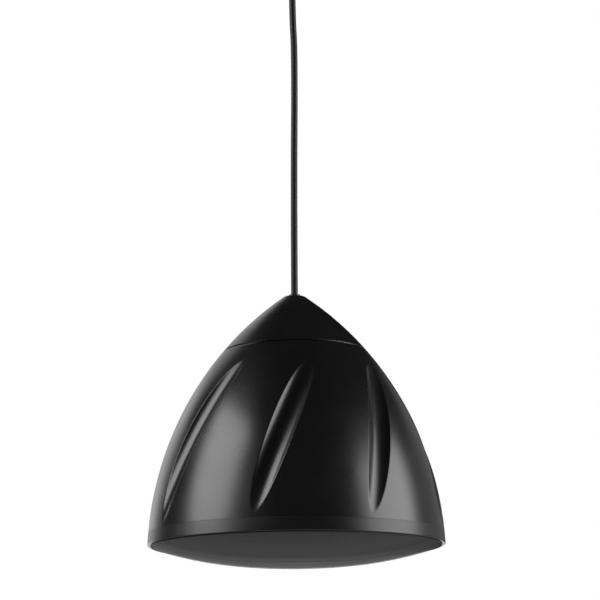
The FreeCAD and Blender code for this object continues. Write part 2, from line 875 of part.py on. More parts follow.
lining = S["flute_depth"] + S["bell_wall"] + S["fit_gap"]
lining_in = lining + S["lining_thickness"]
low, high = S["lining_bottom"], under_deck - S["lining_gap"]
keep(turned("damping_lining", [
    (ogive(low, lining_in), low), (ogive(low, lining), low, S["ogive_radius"] - lining),
    (ogive(high, lining), high), (ogive(high, lining_in), high,
                                  -(S["ogive_radius"] - lining_in))]))

# Grille: a pan with a turned-in flange, a short wall, a rounded corner and a dome.
sheet_grille = S["grille_sheet"]
wall_in = S["grille_radius"] - sheet_grille
corner = S["grille_corner"]
straight = S["grille_straight"]
flange_top = S["ledge_level"]
dome_out = S["grille_dome"]
dome_in = dome_out - sheet_grille
reach = S["grille_radius"] - corner
fall = root(squared(dome_out - corner) - squared(reach))
spread = 1 / (dome_out - corner)
dome_centre = straight + fall
apex = dome_centre - dome_out
keep(turned("grille", [
    (0, apex, dome_out), (reach * dome_out * spread, dome_centre - fall * dome_out * spread, corner),
    (S["grille_radius"], straight), (S["grille_radius"], flange_top),
    (S["grille_flange"], flange_top), (S["grille_flange"], flange_top - sheet_grille),
    (wall_in, flange_top - sheet_grille), (wall_in, straight, sheet_grille - corner),
    (reach * dome_in * spread, dome_centre - fall * dome_in * spread, -dome_in),
    (0, apex + sheet_grille)]))
cloth = S["cloth_thickness"]
cloth_out = dome_in - S["fit_gap"]
cloth_in = cloth_out - cloth
cloth_edge = S["cloth_radius"]
keep(turned("grille_cloth", [
    (0, dome_centre - cloth_out, cloth_out),
    (cloth_edge, dome_centre - root(cloth_out * cloth_out - cloth_edge * cloth_edge)),
    (cloth_edge, dome_centre - root(cloth_in * cloth_in - cloth_edge * cloth_edge), -cloth_in),
    (0, dome_centre - cloth_in)]))

# Woofer basket: flange, step, coned wall with windows, spider ledge and motor seat.
gauge = S["flange_sheet"]
step, ledge = S["basket_step"], S["ledge_ring"]
basket = body_of("woofer_basket")
turn(basket, [
    (S["flange_radius"], face - gauge), (S["flange_radius"], face), (S["basket_radius"], face),
    (S["basket_radius"], step), (ledge, S["spider_level"]), (S["seat_ring"], S["spider_level"]),
    (S["motor_radius"], S["motor_level"]), (S["seat_radius"], S["motor_level"]),
    (S["seat_radius"], S["motor_level"] - gauge), (S["motor_radius"] - gauge, S["motor_level"] - gauge),
    (S["seat_ring"] - gauge, S["spider_level"] - gauge), (ledge - gauge, S["spider_level"] - gauge),
    (S["basket_radius"] - gauge, step - gauge), (S["basket_radius"] - gauge, face - gauge)])
opening = turn(basket, [
    (ledge, S["window_bottom"]), (S["basket_radius"] + gauge, S["window_bottom"]),
    (S["basket_radius"] + gauge, S["window_top"]), (ledge, S["window_top"])],
    "Groove", S["window_angle"])
around(basket, [opening], S["window_count"])
hole = pad(basket, discs((hole_x, hole_y, S["screw_hole"])), face, gauge, "Pocket")
around(basket, [hole], S["driver_screw_count"])
place(basket)
keep(basket)

screws = body_of("driver_screws")
screw = pan_screw(screws, S["driver_screw_circle"], 0, face - gauge, S["driver_screw_length"])
around(screws, [screw], S["driver_screw_count"])
place(screws, turn=S["driver_screw_turn"])
keep(screws)

# Motor: front plate, ring magnet, back plate with its pole, and the moving coil.
motor = S["motor_level"]
plate_back = motor + S["top_plate_thickness"]
magnet_back = plate_back + S["magnet_thickness"]
pole_back = magnet_back + S["back_plate_thickness"]
post_bore = S["post_radius"] + S["post_fit"]
keep(turned("top_plate", ring(S["top_plate_radius"], S["coil_gap_bore"], motor, plate_back)))
keep(turned("magnet", ring(S["magnet_radius"], S["magnet_bore"], plate_back, magnet_back)))
keep(turned("pole_piece", [
    (post_bore, S["pole_tip"]), (S["pole_radius"], S["pole_tip"]), (S["pole_radius"], magnet_back),
    (S["back_plate_radius"], magnet_back), (S["back_plate_radius"], pole_back),
    (post_bore, pole_back)]))
former = S["former_radius"]
former_out = former + S["former_wall"]
winding_out = former_out + S["winding_wall"]
keep(turned("voice_coil", [
    (former, S["former_front"]), (former_out, S["former_front"]),
    (former_out, S["winding_front"]), (winding_out, S["winding_front"]),
    (winding_out, S["winding_back"]), (former_out, S["winding_back"]),
    (former_out, S["former_back"]), (former, S["former_back"])]))

rim_front = S["cone_rim_level"]
rim_back = rim_front + S["cone_sheet"]
neck = S["cone_neck_level"]
keep(turned("woofer_cone", [
    (former_out, neck), (former_out, neck - 2 * S["cone_sheet"]), (S["cone_mouth"], rim_front),
    (S["cone_rim"], rim_front), (S["cone_rim"], rim_back), (S["cone_mouth"], rim_back)]))
roll, roll_in = S["roll_middle"], S["roll_radius"]
thin = S["surround_sheet"]
roll_out = roll_in + thin
roll_reach = root(roll_out * roll_out - thin * thin)
keep(turned("woofer_surround", [
    (S["surround_inner"], rim_front - thin), (roll - roll_reach, rim_front - thin, roll_out),
    (roll + roll_reach, rim_front - thin), (S["surround_outer"], rim_front - thin),
    (S["surround_outer"], face - gauge - 1), (roll + roll_in, rim_front, -roll_in),
    (roll - roll_in, rim_front), (S["surround_inner"], rim_front)]))

# Spider: a pleated disc between the coil former and the basket's ledge.
spider_back = S["spider_level"] - gauge
waves = int(S["spider_waves"].value)
pitch = (S["spider_flat"] - S["spider_inner_flat"]) / (2 * waves)
lower = [(former_out, spider_back - S["spider_sheet"])]
for index in range(2 * waves + 1):
    height = spider_back - S["spider_sheet"]
    if index % 2:
        height = height - S["spider_wave"]
    lower.append((S["spider_inner_flat"] + index * pitch, height))
lower.append((S["spider_outer"], spider_back - S["spider_sheet"]))
upper = [(x, level + S["spider_sheet"]) for x, level in reversed(lower)]
keep(turned("spider", lower + upper))

tags = body_of("woofer_terminal")
tag_middle = (S["tag_inner"] + S["tag_outer"]) / 2
pad(tags, rectangle(tag_middle, 0, S["tag_outer"] - S["tag_inner"], S["tag_width"]),
    S["tag_level"], S["tag_sheet"])
place(tags, turn=S["board_turn"])
keep(tags)

# Tweeter on a hollow post through the pole.
keep(turned("tweeter_post", ring(S["post_radius"], S["post_radius"] - 1, S["tweeter_neck_back"], pole_back)))
cup = S["tweeter_cup_wall"]
tweeter_front, tweeter_back = S["tweeter_front"], S["tweeter_back"]
keep(turned("tweeter_body", [
    (0, S["dome_level"] + 2), (S["dome_rim"] + 1, S["dome_level"] + 2),
    (S["dome_rim"] + 1, S["dome_level"]), (S["tweeter_radius"] - cup, tweeter_front),
    (S["tweeter_radius"], tweeter_front), (S["tweeter_radius"], tweeter_back - cup),
    (S["tweeter_radius"] - cup, tweeter_back), (S["tweeter_neck"], tweeter_back),
    (S["tweeter_neck"] - cup, S["tweeter_neck_back"]), (0, S["tweeter_neck_back"])]))
bulb, skin = S["dome_sphere"], S["dome_sheet"]
brow = root(bulb * bulb - S["dome_radius"] * S["dome_radius"])
dome_middle = S["dome_level"] + brow
keep(turned("tweeter_dome", [
    (0, dome_middle - bulb, bulb), (S["dome_radius"], S["dome_level"]),
    (S["dome_rim"], S["dome_level"]), (S["dome_rim"], S["dome_level"] + skin),
    (S["dome_radius"], S["dome_level"] + skin, -(bulb - skin)),
    (0, dome_middle - bulb + skin)]))
guard = body_of("tweeter_guard")
guard_top = tweeter_front
turn(guard, ring(S["tweeter_radius"], S["tweeter_radius"] - cup, guard_top - S["guard_sheet"], guard_top))
for width, depth in ((2 * (S["tweeter_radius"] - cup) + 1, S["guard_bar"]),
                     (S["guard_bar"], 2 * (S["tweeter_radius"] - cup) + 1)):
    pad(guard, rectangle(as_size(0), as_size(0), width, depth), guard_top - S["guard_sheet"],
        S["guard_sheet"])
place(guard)
keep(guard)

# Crossover board beside the woofer, with its choke and two capacitors.
board_level = back + S["standoff_height"]
board_top = board_level + S["board_thickness"]
board = body_of("crossover_board")
board_middle = S["board_inner"] + S["board_radial"] / 2
pad(board, rectangle(board_middle, as_size(0), S["board_radial"], S["board_width"]), board_level,
    S["board_thickness"])
pad(board, discs(*[(x, y, S["screw_hole"]) for x in (near, off) for y in (side, -side)]), board_top,
    S["board_thickness"], "Pocket")
place(board, turn=S["board_turn"])
keep(board)
screws = body_of("board_screws")
for x in (near, off):
    for y in (side, -side):
        pan_screw(screws, x, y, board_top, S["board_screw_length"], up=False)
place(screws, turn=S["board_turn"])
keep(screws)
choke = body_of("crossover_choke")
turn(choke, [
    (S["choke_bore"], 0), (S["choke_flange"], 0), (S["choke_flange"], S["choke_flange_height"]),
    (S["choke_radius"], S["choke_flange_height"]),
    (S["choke_radius"], S["choke_height"] - S["choke_flange_height"]),
    (S["choke_flange"], S["choke_height"] - S["choke_flange_height"]),
    (S["choke_flange"], S["choke_height"]), (S["choke_bore"], S["choke_height"])])
x, y = board_frame(S["choke_reach"], S["choke_side"])
place(choke, x, y, board_top)
keep(choke)
cans = body_of("crossover_capacitors")
reach, rise = S["capacitor_reach"], board_top + S["capacitor_radius"]
pad(cans, discs((reach, rise, S["capacitor_radius"]),
                (reach + S["capacitor_pitch"], rise, S["capacitor_radius"])),
    -S["capacitor_side"], S["capacitor_length"], role="XZ_Plane", both=True)
place(cans, turn=S["board_turn"])
keep(cans)

# Hanger bridge on the deck, its bolts, the plate and nuts under the deck.
half, thick, foot = S["bridge_half"], S["bridge_sheet"], S["bridge_foot"]
crown = S["bridge_level"] + thick
bridge = body_of("hanger_bridge")
pad(bridge, lambda sketch: outline(sketch, [
    (-foot, deck), (-half, deck), (-half, crown - thick), (half, crown - thick), (half, deck),
    (foot, deck), (foot, deck + thick), (half + thick, deck + thick), (half + thick, crown),
    (-half - thick, crown), (-half - thick, deck + thick), (-foot, deck + thick)]),
    0, S["bridge_width"], role="XZ_Plane", both=True)
pad(bridge, discs((0, 0, S["gland_thread"])), crown, thick, "Pocket")
bolts_at = (S["hanger_bolt_reach"], -S["hanger_bolt_reach"])
pad(bridge, discs(*[(x, 0, S["hanger_hole"]) for x in bolts_at]), deck + thick, thick, "Pocket")
place(bridge)
keep(bridge)
grip = S["backplate_thickness"]
backplate = body_of("hanger_backplate")
pad(backplate, rectangle(as_size(0), as_size(0), 2 * foot, S["bridge_width"]), under_deck - grip, grip)
pad(backplate, discs(*[(x, 0, S["hanger_hole"]) for x in bolts_at]), under_deck, grip, "Pocket")
place(backplate)
keep(backplate)
bolts = body_of("hanger_bolts")
nuts = body_of("hanger_nuts")
for x in bolts_at:
    pad(bolts, hexagon(x, as_size(0), S["hex_corner"]), deck + thick, S["bolt_head_height"])
    pad(bolts, discs((x, 0, S["hanger_bolt_radius"])), under_deck - grip - S["nut_height"] - 1,
        S["deck_thickness"] + grip + thick + S["nut_height"] + 1)
    pad(nuts, hexagon(x, as_size(0), S["hex_corner"]), under_deck - grip - S["nut_height"],
        S["nut_height"])
pad(nuts, discs(*[(x, 0, S["hanger_bolt_radius"]) for x in bolts_at]), under_deck - grip,
    S["nut_height"], "Pocket")
for group in (bolts, nuts):
    place(group)
    keep(group)

# Cord gland in the bridge, its dome nut and lock nut, and the crimped ferrule.
cord = S["cord_diameter"] / 2
gland = body_of("gland_body")
turn(gland, ring(S["gland_thread"], S["gland_bore"], S["gland_bottom"], S["gland_top"]))
collar = pad(gland, hexagon(as_size(0), as_size(0), S["gland_hex"]), crown, S["gland_hex_height"])
pad(gland, discs((0, 0, S["gland_bore"])), crown + S["gland_hex_height"], S["gland_hex_height"], "Pocket")
place(gland)
keep(gland)
nut_foot = crown + S["gland_hex_height"]
bend = S["gland_nut_rounding"]
keep(turned("gland_nut", [
    (S["gland_thread"], nut_foot), (S["gland_nut_radius"], nut_foot),
    (S["gland_nut_radius"], S["gland_nut_top"] - bend, bend),
    (S["gland_nut_radius"] - bend, S["gland_nut_top"]), (S["gland_bore"], S["gland_nut_top"]),
    (S["gland_bore"], S["gland_top"]), (S["gland_thread"], S["gland_top"])]))
locknut = body_of("gland_locknut")
locknut_foot = S["bridge_level"] - S["locknut_height"]
pad(locknut, hexagon(as_size(0), as_size(0), S["gland_hex"]), locknut_foot, S["locknut_height"])
pad(locknut, discs((0, 0, S["gland_thread"])), S["bridge_level"], S["locknut_height"], "Pocket")
place(locknut)
keep(locknut)
keep(turned("cord_ferrule", ring(S["ferrule_radius"], cord, S["gland_bottom"] - S["ferrule_length"],
                                 S["gland_bottom"])))

# Terminal block on the deck with its clamping screws.
block = body_of("terminal_block")
block_top = deck + S["terminal_height"]
posts = [(k - (S["terminal_count"].value - 1) / 2) * S["terminal_pitch"]
         for k in range(int(S["terminal_count"].value))]
pad(block, rectangle(as_size(0), S["terminal_y"], S["terminal_length"], S["terminal_depth"]), deck,
    S["terminal_height"])
pad(block, discs(*[(x, S["terminal_y"], S["terminal_screw"]) for x in posts]), block_top,
    S["terminal_screw_height"] + 1, "Pocket")
place(block)
keep(block)
screws = body_of("terminal_screws")
pad(screws, discs(*[(x, S["terminal_y"], S["terminal_screw"]) for x in posts]),
    block_top - S["terminal_screw_height"] - 1, S["terminal_screw_height"])
for x in posts:
    pad(screws, rectangle(x, S["terminal_y"], S["terminal_slot"], 2 * S["terminal_screw"] + 1),
        block_top - 1, S["terminal_slot"], "Pocket")
place(screws)
keep(screws)

# Power tap switch under the deck; its shaft and knob turn.
switch_y = S["switch_y"]
switch = body_of("tap_switch")
pad(switch, rectangle(as_size(0), as_size(0), S["switch_size"], S["switch_size"]),
    under_deck - S["switch_height"], S["switch_height"])
pad(switch, discs((0, 0, S["bush_radius"])), under_deck, S["bush_top"] - under_deck)
pad(switch, discs((0, 0, S["shaft_radius"] + S["post_fit"])), S["bush_top"],
    S["bush_top"] - under_deck + 1, "Pocket")
place(switch, 0, switch_y)
keep(switch)
nut = body_of("switch_nut")
pad(nut, hexagon(as_size(0), as_size(0), S["switch_nut_corner"]), deck, S["switch_nut_height"])
pad(nut, discs((0, 0, S["bush_radius"])), deck + S["switch_nut_height"], S["switch_nut_height"], "Pocket")
place(nut, 0, switch_y)
keep(nut)
keep(turned("tap_shaft", [(0, under_deck - 0.5), (S["shaft_radius"], under_deck - 0.5),
                          (S["shaft_radius"], S["shaft_top"]), (0, S["shaft_top"])], y=switch_y))
knob = body_of("tap_knob")
turn(knob, [
    (S["shaft_radius"], S["knob_bottom"]), (S["knob_skirt"], S["knob_bottom"]),
    (S["knob_skirt"], S["knob_bottom"] + S["knob_skirt_height"]),
    (S["knob_radius"], S["knob_bottom"] + S["knob_skirt_height"]),
    (S["knob_radius"] - 1, S["knob_top"]), (0, S["knob_top"]), (0, S["shaft_top"]),
    (S["shaft_radius"], S["shaft_top"])])
rib = pad(knob, discs((S["knob_radius"], 0, S["knob_rib"])), S["knob_top"],
          S["knob_top"] - S["knob_bottom"] - S["knob_skirt_height"], "Pocket")
around(knob, [rib], S["knob_ribs"])
pad(knob, rectangle(as_size(0), -S["knob_radius"] / 2, S["knob_mark"], S["knob_radius"]),
    S["knob_top"], S["knob_mark"] / 2, "Pocket")
place(knob, 0, switch_y)
keep(knob)

# Line transformer in a strap under the deck.
core = body_of("transformer_core")
core_y, core_low = S["core_y"], under_deck - S["core_height"]
pad(core, rectangle(as_size(0), core_y, S["core_width"], S["core_depth"]), core_low, S["core_height"])
window_x = S["core_limb"] + S["window_width"] / 2
window_level = core_low + S["core_height"] / 2
for x in (window_x, -window_x):
    pad(core, rectangle(x, window_level, S["window_width"], S["window_height"]), -core_y,
        S["core_depth"] + 2, "Pocket", role="XZ_Plane", both=True)
place(core)
keep(core)
coil = body_of("transformer_coil")
coil_half = S["core_limb"] + S["window_width"] - S["fit_gap"]
pad(coil, rectangle(as_size(0), core_y, 2 * coil_half, S["coil_depth"]),
    window_level - S["window_height"] / 2 + S["fit_gap"], S["window_height"] - 2 * S["fit_gap"])
pad(coil, rectangle(as_size(0), core_y, 2 * S["core_limb"], S["core_depth"]),
    window_level + S["window_height"] / 2, S["window_height"] + 1, "Pocket")
place(coil)
keep(coil)
strap = body_of("transformer_strap")
wide = S["core_width"] / 2
gauge_strap = S["strap_sheet"]
reach = wide + gauge_strap + S["strap_foot"]
pad(strap, lambda sketch: outline(sketch, [
    (-reach, under_deck), (-reach, under_deck - gauge_strap), (-wide - gauge_strap, under_deck - gauge_strap),
    (-wide - gauge_strap, core_low - gauge_strap), (wide + gauge_strap, core_low - gauge_strap),
    (wide + gauge_strap, under_deck - gauge_strap), (reach, under_deck - gauge_strap), (reach, under_deck),
    (wide, under_deck), (wide, core_low), (-wide, core_low), (-wide, under_deck)]),
    -core_y, S["strap_width"], role="XZ_Plane", both=True)
pad(strap, discs(*[(x, core_y, S["strap_screw"]) for x in (strap_reach, -strap_reach)]),
    under_deck, gauge_strap, "Pocket")
place(strap)
keep(strap)
screws = body_of("transformer_screws")
for x in (strap_reach, -strap_reach):
    pan_screw(screws, x, core_y, under_deck - gauge_strap, S["strap_screw_length"], shank=S["strap_screw"])
place(screws)
keep(screws)

# Ceiling rose: plate with a threaded boss, hollow nipple, canopy and cord grip.
ceiling = S["drop"]
plate_low = ceiling - S["plate_thickness"]
rose = body_of("ceiling_plate")
turn(rose, [
    (S["nipple_radius"], ceiling - S["plate_boss_height"]), (S["plate_boss"], ceiling - S["plate_boss_height"]),
    (S["plate_boss"], plate_low), (S["plate_radius"], plate_low), (S["plate_radius"], ceiling),
    (S["nipple_radius"], ceiling)])
pad(rose, discs(*[(x, 0, S["mount_hole"]) for x in (S["mount_reach"], -S["mount_reach"])]), ceiling,
    S["plate_thickness"], "Pocket")
place(rose)
keep(rose)
canopy_low = ceiling - S["canopy_height"]
shell = S["canopy_wall"]
curve = S["canopy_corner"]
keep(turned("ceiling_canopy", [
    (S["nipple_radius"], canopy_low), (S["canopy_radius"] - curve, canopy_low, curve),
    (S["canopy_radius"], canopy_low + curve), (S["canopy_radius"], ceiling),
    (S["canopy_radius"] - shell, ceiling), (S["canopy_radius"] - shell, canopy_low + curve, -(curve - shell)),
    (S["canopy_radius"] - curve, canopy_low + shell), (S["nipple_radius"], canopy_low + shell)]))
nipple_low = ceiling - S["nipple_bottom"]
keep(turned("nipple", ring(S["nipple_radius"], S["nipple_bore"], nipple_low,
                           nipple_low + S["nipple_length"])))
grip_low = canopy_low - S["grip_height"]
grip_foot = grip_low - S["grip_thread_height"]
keep(turned("grip_body", [
    (S["nipple_radius"], grip_foot), (S["grip_thread"], grip_foot), (S["grip_thread"], grip_low),
    (S["grip_radius"], grip_low), (S["grip_radius"], canopy_low), (S["nipple_radius"], canopy_low)]))
nut_low = grip_low - S["grip_nut_height"]
nut_floor = nut_low + S["grip_nut_floor"]
cut = S["grip_nut_break"]
keep(turned("grip_nut", [
    (S["nipple_bore"], nut_low), (S["grip_radius"] - cut, nut_low), (S["grip_radius"], nut_low + cut),
    (S["grip_radius"], grip_low), (S["grip_thread"], grip_low), (S["grip_thread"], nut_floor),
    (S["nipple_bore"], nut_floor)]))
keep(turned("grip_sleeve", ring(S["nipple_radius"], cord, nut_floor, nut_floor + S["sleeve_length"])))

# The suspension cord hangs straight through the cap and bows very slightly above it.
cord_route = [(0, 0, S["cord_bottom"]), (0, 0, S["cord_straight"]),
              (S["cord_bow"], 0, S["cord_bow_level"]), (0, 0, S["cord_grip_level"]),
              (0, 0, S["cord_top"])]
lead("suspension_cord", [cord_route], cord)

# Leads: cord cores to the terminal block, then to the transformer, board and drivers.
low_end = S["cord_bottom"]
front = S["terminal_y"] - S["terminal_depth"] / 2
entry = deck + S["terminal_height"] / 2
lead("cord_cores", [[
    (x, 0, low_end), (x, 0, low_end - 4), (1.2 * x, 4, low_end - 7.4),
    (2.2 * x, front - 9, entry - 0.9), (2.2 * x, front, entry)] for x in (1.6, -1.6)],
    S["core_wire"])
block_end = S["terminal_length"] / 2
block_y = S["terminal_y"]
down_x, down_y = S["deck_lead_x"], S["deck_lead_y"]
coil_near = S["core_y"] - S["coil_depth"] / 2 + 4
lead("input_lead", [[
    (block_end, block_y, entry), (block_end + 8, block_y, entry),
    (down_x - 0.5, down_y + 5, entry - 1.5), (down_x, down_y, entry - 6),
    (down_x, down_y - 0.3, under_deck - 3.5), (down_x - 1, coil_near, under_deck - 12.5),
    (down_x - 6, coil_near, under_deck - 16.5), (coil_half, coil_near, under_deck - 16.5)]],
    S["lead_radius"])
board_x, board_y = board_frame(S["choke_reach"] + 8, as_size(0))
lead("output_lead", [[
    (-coil_half, coil_near, window_level), (-coil_half - 9, coil_near, window_level),
    (-26, 4, 150), (-14, -24, 128), (10, -52, 106), (36, -74, 80), (board_x - 3, board_y + 4, 52),
    (board_x, board_y, 33), (board_x, board_y + 0.2, board_top)]], S["lead_radius"])


def near_board(route):
    return [(*board_frame(as_size(x), as_size(y)), level) for x, y, level in route]


tag_top = S["tag_level"] + S["tag_sheet"]
lead("speaker_leads", [
    near_board([(92, 3, board_top), (92, 3, board_top + 8), (82, 3, board_top + 14),
                (71, 2, board_top + 11), (71, 2, tag_top)]),
    near_board([(92, -3, board_top), (92, -3, board_top + 12), (72, -4, 52), (57, -2, 76),
                (34, 0, 92), (12, 0, 95), (0, 0, 87), (0, 0.2, pole_back - 6)])],
    S["core_wire"])

doc.recompute()
for thing in doc.Objects:
    if "Invalid" in thing.State or "Error" in thing.State:
        raise RuntimeError(f"{thing.Name} failed: {thing.State}")
for node in NODES:
    shape = node.Shape
    if shape.isNull() or not shape.isValid() or not shape.Solids:
        raise RuntimeError(f"{node.Label} has no sound shape")
for node in NODES:
    node.Shape.exportStep(f"parts/{node.Label}.step")
    box = node.Shape.BoundBox
    print(f"{node.Label}: {len(node.Shape.Solids)} solids, {node.Shape.Volume / 1000:.2f} cm3, "
          f"z {box.ZMin:.1f} to {box.ZMax:.1f}")
print(len(NODES), "nodes")
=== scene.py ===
import math

import bpy
import numpy as np
from mathutils import Euler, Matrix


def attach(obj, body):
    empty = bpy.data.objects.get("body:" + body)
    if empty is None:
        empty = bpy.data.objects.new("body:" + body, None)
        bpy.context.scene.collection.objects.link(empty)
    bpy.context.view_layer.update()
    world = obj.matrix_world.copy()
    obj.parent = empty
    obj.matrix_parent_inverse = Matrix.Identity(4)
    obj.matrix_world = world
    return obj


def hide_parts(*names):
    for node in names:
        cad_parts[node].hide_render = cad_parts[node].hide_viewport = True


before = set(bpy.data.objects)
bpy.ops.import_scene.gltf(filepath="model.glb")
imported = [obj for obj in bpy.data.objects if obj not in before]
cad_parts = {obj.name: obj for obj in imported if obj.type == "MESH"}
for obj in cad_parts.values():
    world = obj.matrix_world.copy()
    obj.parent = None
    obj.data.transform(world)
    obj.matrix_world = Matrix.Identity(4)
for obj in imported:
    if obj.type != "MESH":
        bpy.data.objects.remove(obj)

bl_info = {
    "name": "Pendant loudspeaker",
    "version": (1, 0, 0),
    "blender": (4, 5, 0),
    "location": "3D View > Sidebar > Pendant loudspeaker",
    "description": "Scooped ogive bell on one cord, with its finishes, lamps and camera",
    "category": "Object",
}

# Lengths are in metres. Levels are counted upwards from the plane of the rim.
DROP = 0.640  # from the ceiling down to the rim

# The cord's route, from the gland to the ceiling rose.
CORD_POINTS = [
    (0, 0, -0.433), (0, 0, -0.288), (0.0024, 0, -0.120), (0, 0, -0.074), (0, 0, -0.004)]

# The bell's outline is one arc, whose centre lies at this level.
OGIVE_RADIUS = 0.332
OGIVE_LEVEL = -0.014
EDGE_ROUNDING = 0.0003

# The deck closes the bell's top inside a low rim, and has a small hole on the axis.
DECK_LEVEL = 0.193
DECK_THICKNESS = 0.0035
RECESS_RADIUS = 0.071
DECK_HOLE = 0.004

# A scoop is the middle of a tube bent round a large ring.
SCOOPS = 8
SCOOP_LEVEL = 0.105
SCOOP_TURN = math.radians(-5.0)
SCOOP_LEAN = math.radians(18.3)
SCOOP_TUBE = 0.018
SCOOP_DEPTH = 0.006
SCOOP_RING = 0.53
DEEPEST_CUT = 0.012
HALVINGS = 22

# The bell's mesh: its rows, the fine steps that a scoop's edges are looked for in, how far to
# both sides of an edge the columns are dense, the least half width between two edges, and the
# share of a straight line's turn that a scoop's line makes.
FACE_ROWS = 132
INNER_ROWS = 14
FINE_STEPS = 4001
EDGE_REACH = 0.0016
LEAST_HALF_WIDTH = np.deg2rad(0.7)
LINE_SHARE = 0.95

# The grille's dome, and the wall and flange that are turned in behind its edge.
GRILLE_POWER = 2.5
WALL_FOOT = 0.0004
FLANGE_LEVEL = 0.005
FLANGE_WIDTH = 0.0037
GRILLE_COLUMNS = 256
CLOTH_GAP = 0.0003
CLOTH_SHEET = 0.0005
CLOTH_INSET = 0.003
CLOTH_COLUMNS = 128
# A black ring in the gap between the grille's edge and the rim's lip, which darkens that gap as
# painted shade: how far it overlaps the grille's wall, its width and the level of its top.
SHADE_RING_OVERLAP = 0.0001
SHADE_RING_WIDTH = 0.001
SHADE_RING_TOP = 0.002
# A quarter of a square's diagonal: half the distance between staggered holes, over the pitch.
HALF_NEIGHBOUR = 0.354
HOLE_BLUR = 0.02
HOLE_RELIEF = 0.0003

# The camera, fitted to the photograph.
FOCAL_PIXELS = 2050.0
PICTURE_PIXELS = 600.0
CAMERA_PLACE = (0.0057, -2.0697, -0.8435)
CAMERA_PITCH = math.radians(12.45)
CAMERA_ROLL = math.radians(-0.5)

# The stage: the floor's level and half width, and the backdrop's distance, turns and height.
FLOOR_LEVEL = -1.55
FLOOR_REACH = 9.0
BACKDROP_DISTANCE = 5
BACKDROP_TURNS = (83, 132)
BACKDROP_HEIGHT = 6.0
BACKDROP_COLUMNS = 31
# How white the stage is in the object's gloss, and how white the floor is and where it fades.
GLOSS_WHITE = 0.85
FLOOR_WHITE = 0.55
FLOOR_FADE = (2.5, 8.0)
LAMPS_AIM = (0, 0, -0.52)
# Name, azimuth and elevation in degrees, width and height in metres, and brightness.
LAMPS = [
    ("left_lamp", -71, 27, 2.1, 2.3, 6.1),
    ("right_lamp", 79, 15, 2.7, 2.0, 5.8),
    ("right_back_lamp", 140, 5, 2.4, 2.4, 0.3),
    ("left_back_lamp", -142, 5, 1.7, 2.4, 0.42),
]


# Sizes and colours that a user would change.

def length(name, description, default):
    return bpy.props.FloatProperty(
        name=name, description=description, default=default, min=0.0, precision=5,
        subtype="DISTANCE", unit="LENGTH")


def share(name, description, default):
    return bpy.props.FloatProperty(
        name=name, description=description, default=default, min=0.0, max=1.0, subtype="FACTOR")


def colour(name, description, default):
    return bpy.props.FloatVectorProperty(
        name=name, description=description, default=default, size=3, min=0.0, max=1.0,
        subtype="COLOR")


class BellSettings(bpy.types.PropertyGroup):
    rim_radius: length("Rim radius", "Radius of the bell at its rim", 0.150)
    wall: length("Wall", "Thickness of the moulded wall", 0.0035)
    low: length("Lower edge", "Level of the shell's lower edge over the rim", 0.0128)
    high: length("Upper edge", "Level of the shell's upper edge over the rim", 0.1965)
    scoop_softness: length("Scoop softness", "How far the scoops' edges are rounded", 0.0004)
    plastic: colour("Plastic", "Colour of the moulded plastic", (0.008, 0.008, 0.0084))
    plastic_roughness: share("Plastic roughness", "Roughness of the moulded plastic", 0.28)


class GrilleSettings(bpy.types.PropertyGroup):
    radius: length("Grille radius", "Radius of the pan's wall", 0.1455)
    depth: length("Grille depth", "How far the dome's middle hangs below the rim", 0.0204)
    corner: length("Grille corner", "Radius of the rolled corner", 0.0015)
    sheet: length("Grille sheet", "Thickness of the perforated sheet", 0.001)
    # The black ring below the rim is painted shade: it darkens the gap under the lip.
    shade_ring_drop: length("Shade ring drop", "How far the black ring stands below the rim", 0.0013)
    pitch: length("Hole pitch", "Distance between the holes of the sheet", 0.0024)
    open_share: share("Hole width", "Width of a hole over the pitch", 0.68)
    paint: colour("Paint", "Colour of the powder coat on the grille", (0.0168, 0.0168, 0.0173))
    paint_roughness: share("Paint roughness", "Roughness of the powder coat on the grille", 0.36)


class CordSettings(bpy.types.PropertyGroup):
    diameter: length("Diameter", "Thickness of the cord's jacket", 0.007)
    jacket: colour("Jacket", "Colour of the cord's jacket", (0.012, 0.012, 0.012))


class StageSettings(bpy.types.PropertyGroup):
    lamp_distance: length("Lamp distance", "From the bell to the soft lamps", 3.2)
    lamp_power: bpy.props.FloatProperty(
        name="Lamp level", description="Brightness of the soft lamps", default=1.0, min=0.0)
    surround: share("Surround", "Brightness of the dim room in front of the bell", 0.0)
    pale: colour("Stage", "Colour of the floor and the backdrop", (0.72, 0.72, 0.72))


def settings():
    """The scene, which holds the groups of settings."""
    return bpy.context.scene


# Meshes

def ogive(level, inset=0.0):
    """Radius of the bell's arc at a level, or of the arc that lies inside it by an inset.

    It is the distance of the arc's centre from the axis plus the root of the arc's radius
    squared less the rise above the centre squared.
    """
    rim = settings().speaker_bell.rim_radius
    centre = rim - math.sqrt(OGIVE_RADIUS ** 2 - OGIVE_LEVEL ** 2)
    rise = np.asarray(level) - OGIVE_LEVEL
    return centre + np.sqrt((OGIVE_RADIUS - inset) ** 2 - rise ** 2)


def new_piece(name, points, faces, body, slot, replaces=()):
    """A piece that rides on a body, from an array of points and a list of faces."""
    mesh = bpy.data.meshes.new(name)
    mesh.from_pydata(points.reshape(-1, 3).tolist(), [], faces)
    mesh.validate()
    mesh.shade_smooth()
    piece = bpy.data.objects.new(name, mesh)
    bpy.context.scene.collection.objects.link(piece)
    mesh.materials.append(finish(slot))
    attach(piece, body)
    if replaces:
        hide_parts(*replaces)


def quads(rows, columns, wrap_rows=False):
    """Quads of a grid of points whose columns close on themselves, and whose rows may."""
    row = np.arange(rows if wrap_rows else rows - 1)[:, None]
    column = np.arange(columns)[None, :]
    after, right = (row + 1) % rows, (column + 1) % columns
    corners = [row * columns + column, row * columns + right,
               after * columns + right, after * columns + column]
    return np.stack([np.broadcast_to(c, (len(row), columns)) for c in corners], -1).reshape(-1, 4)


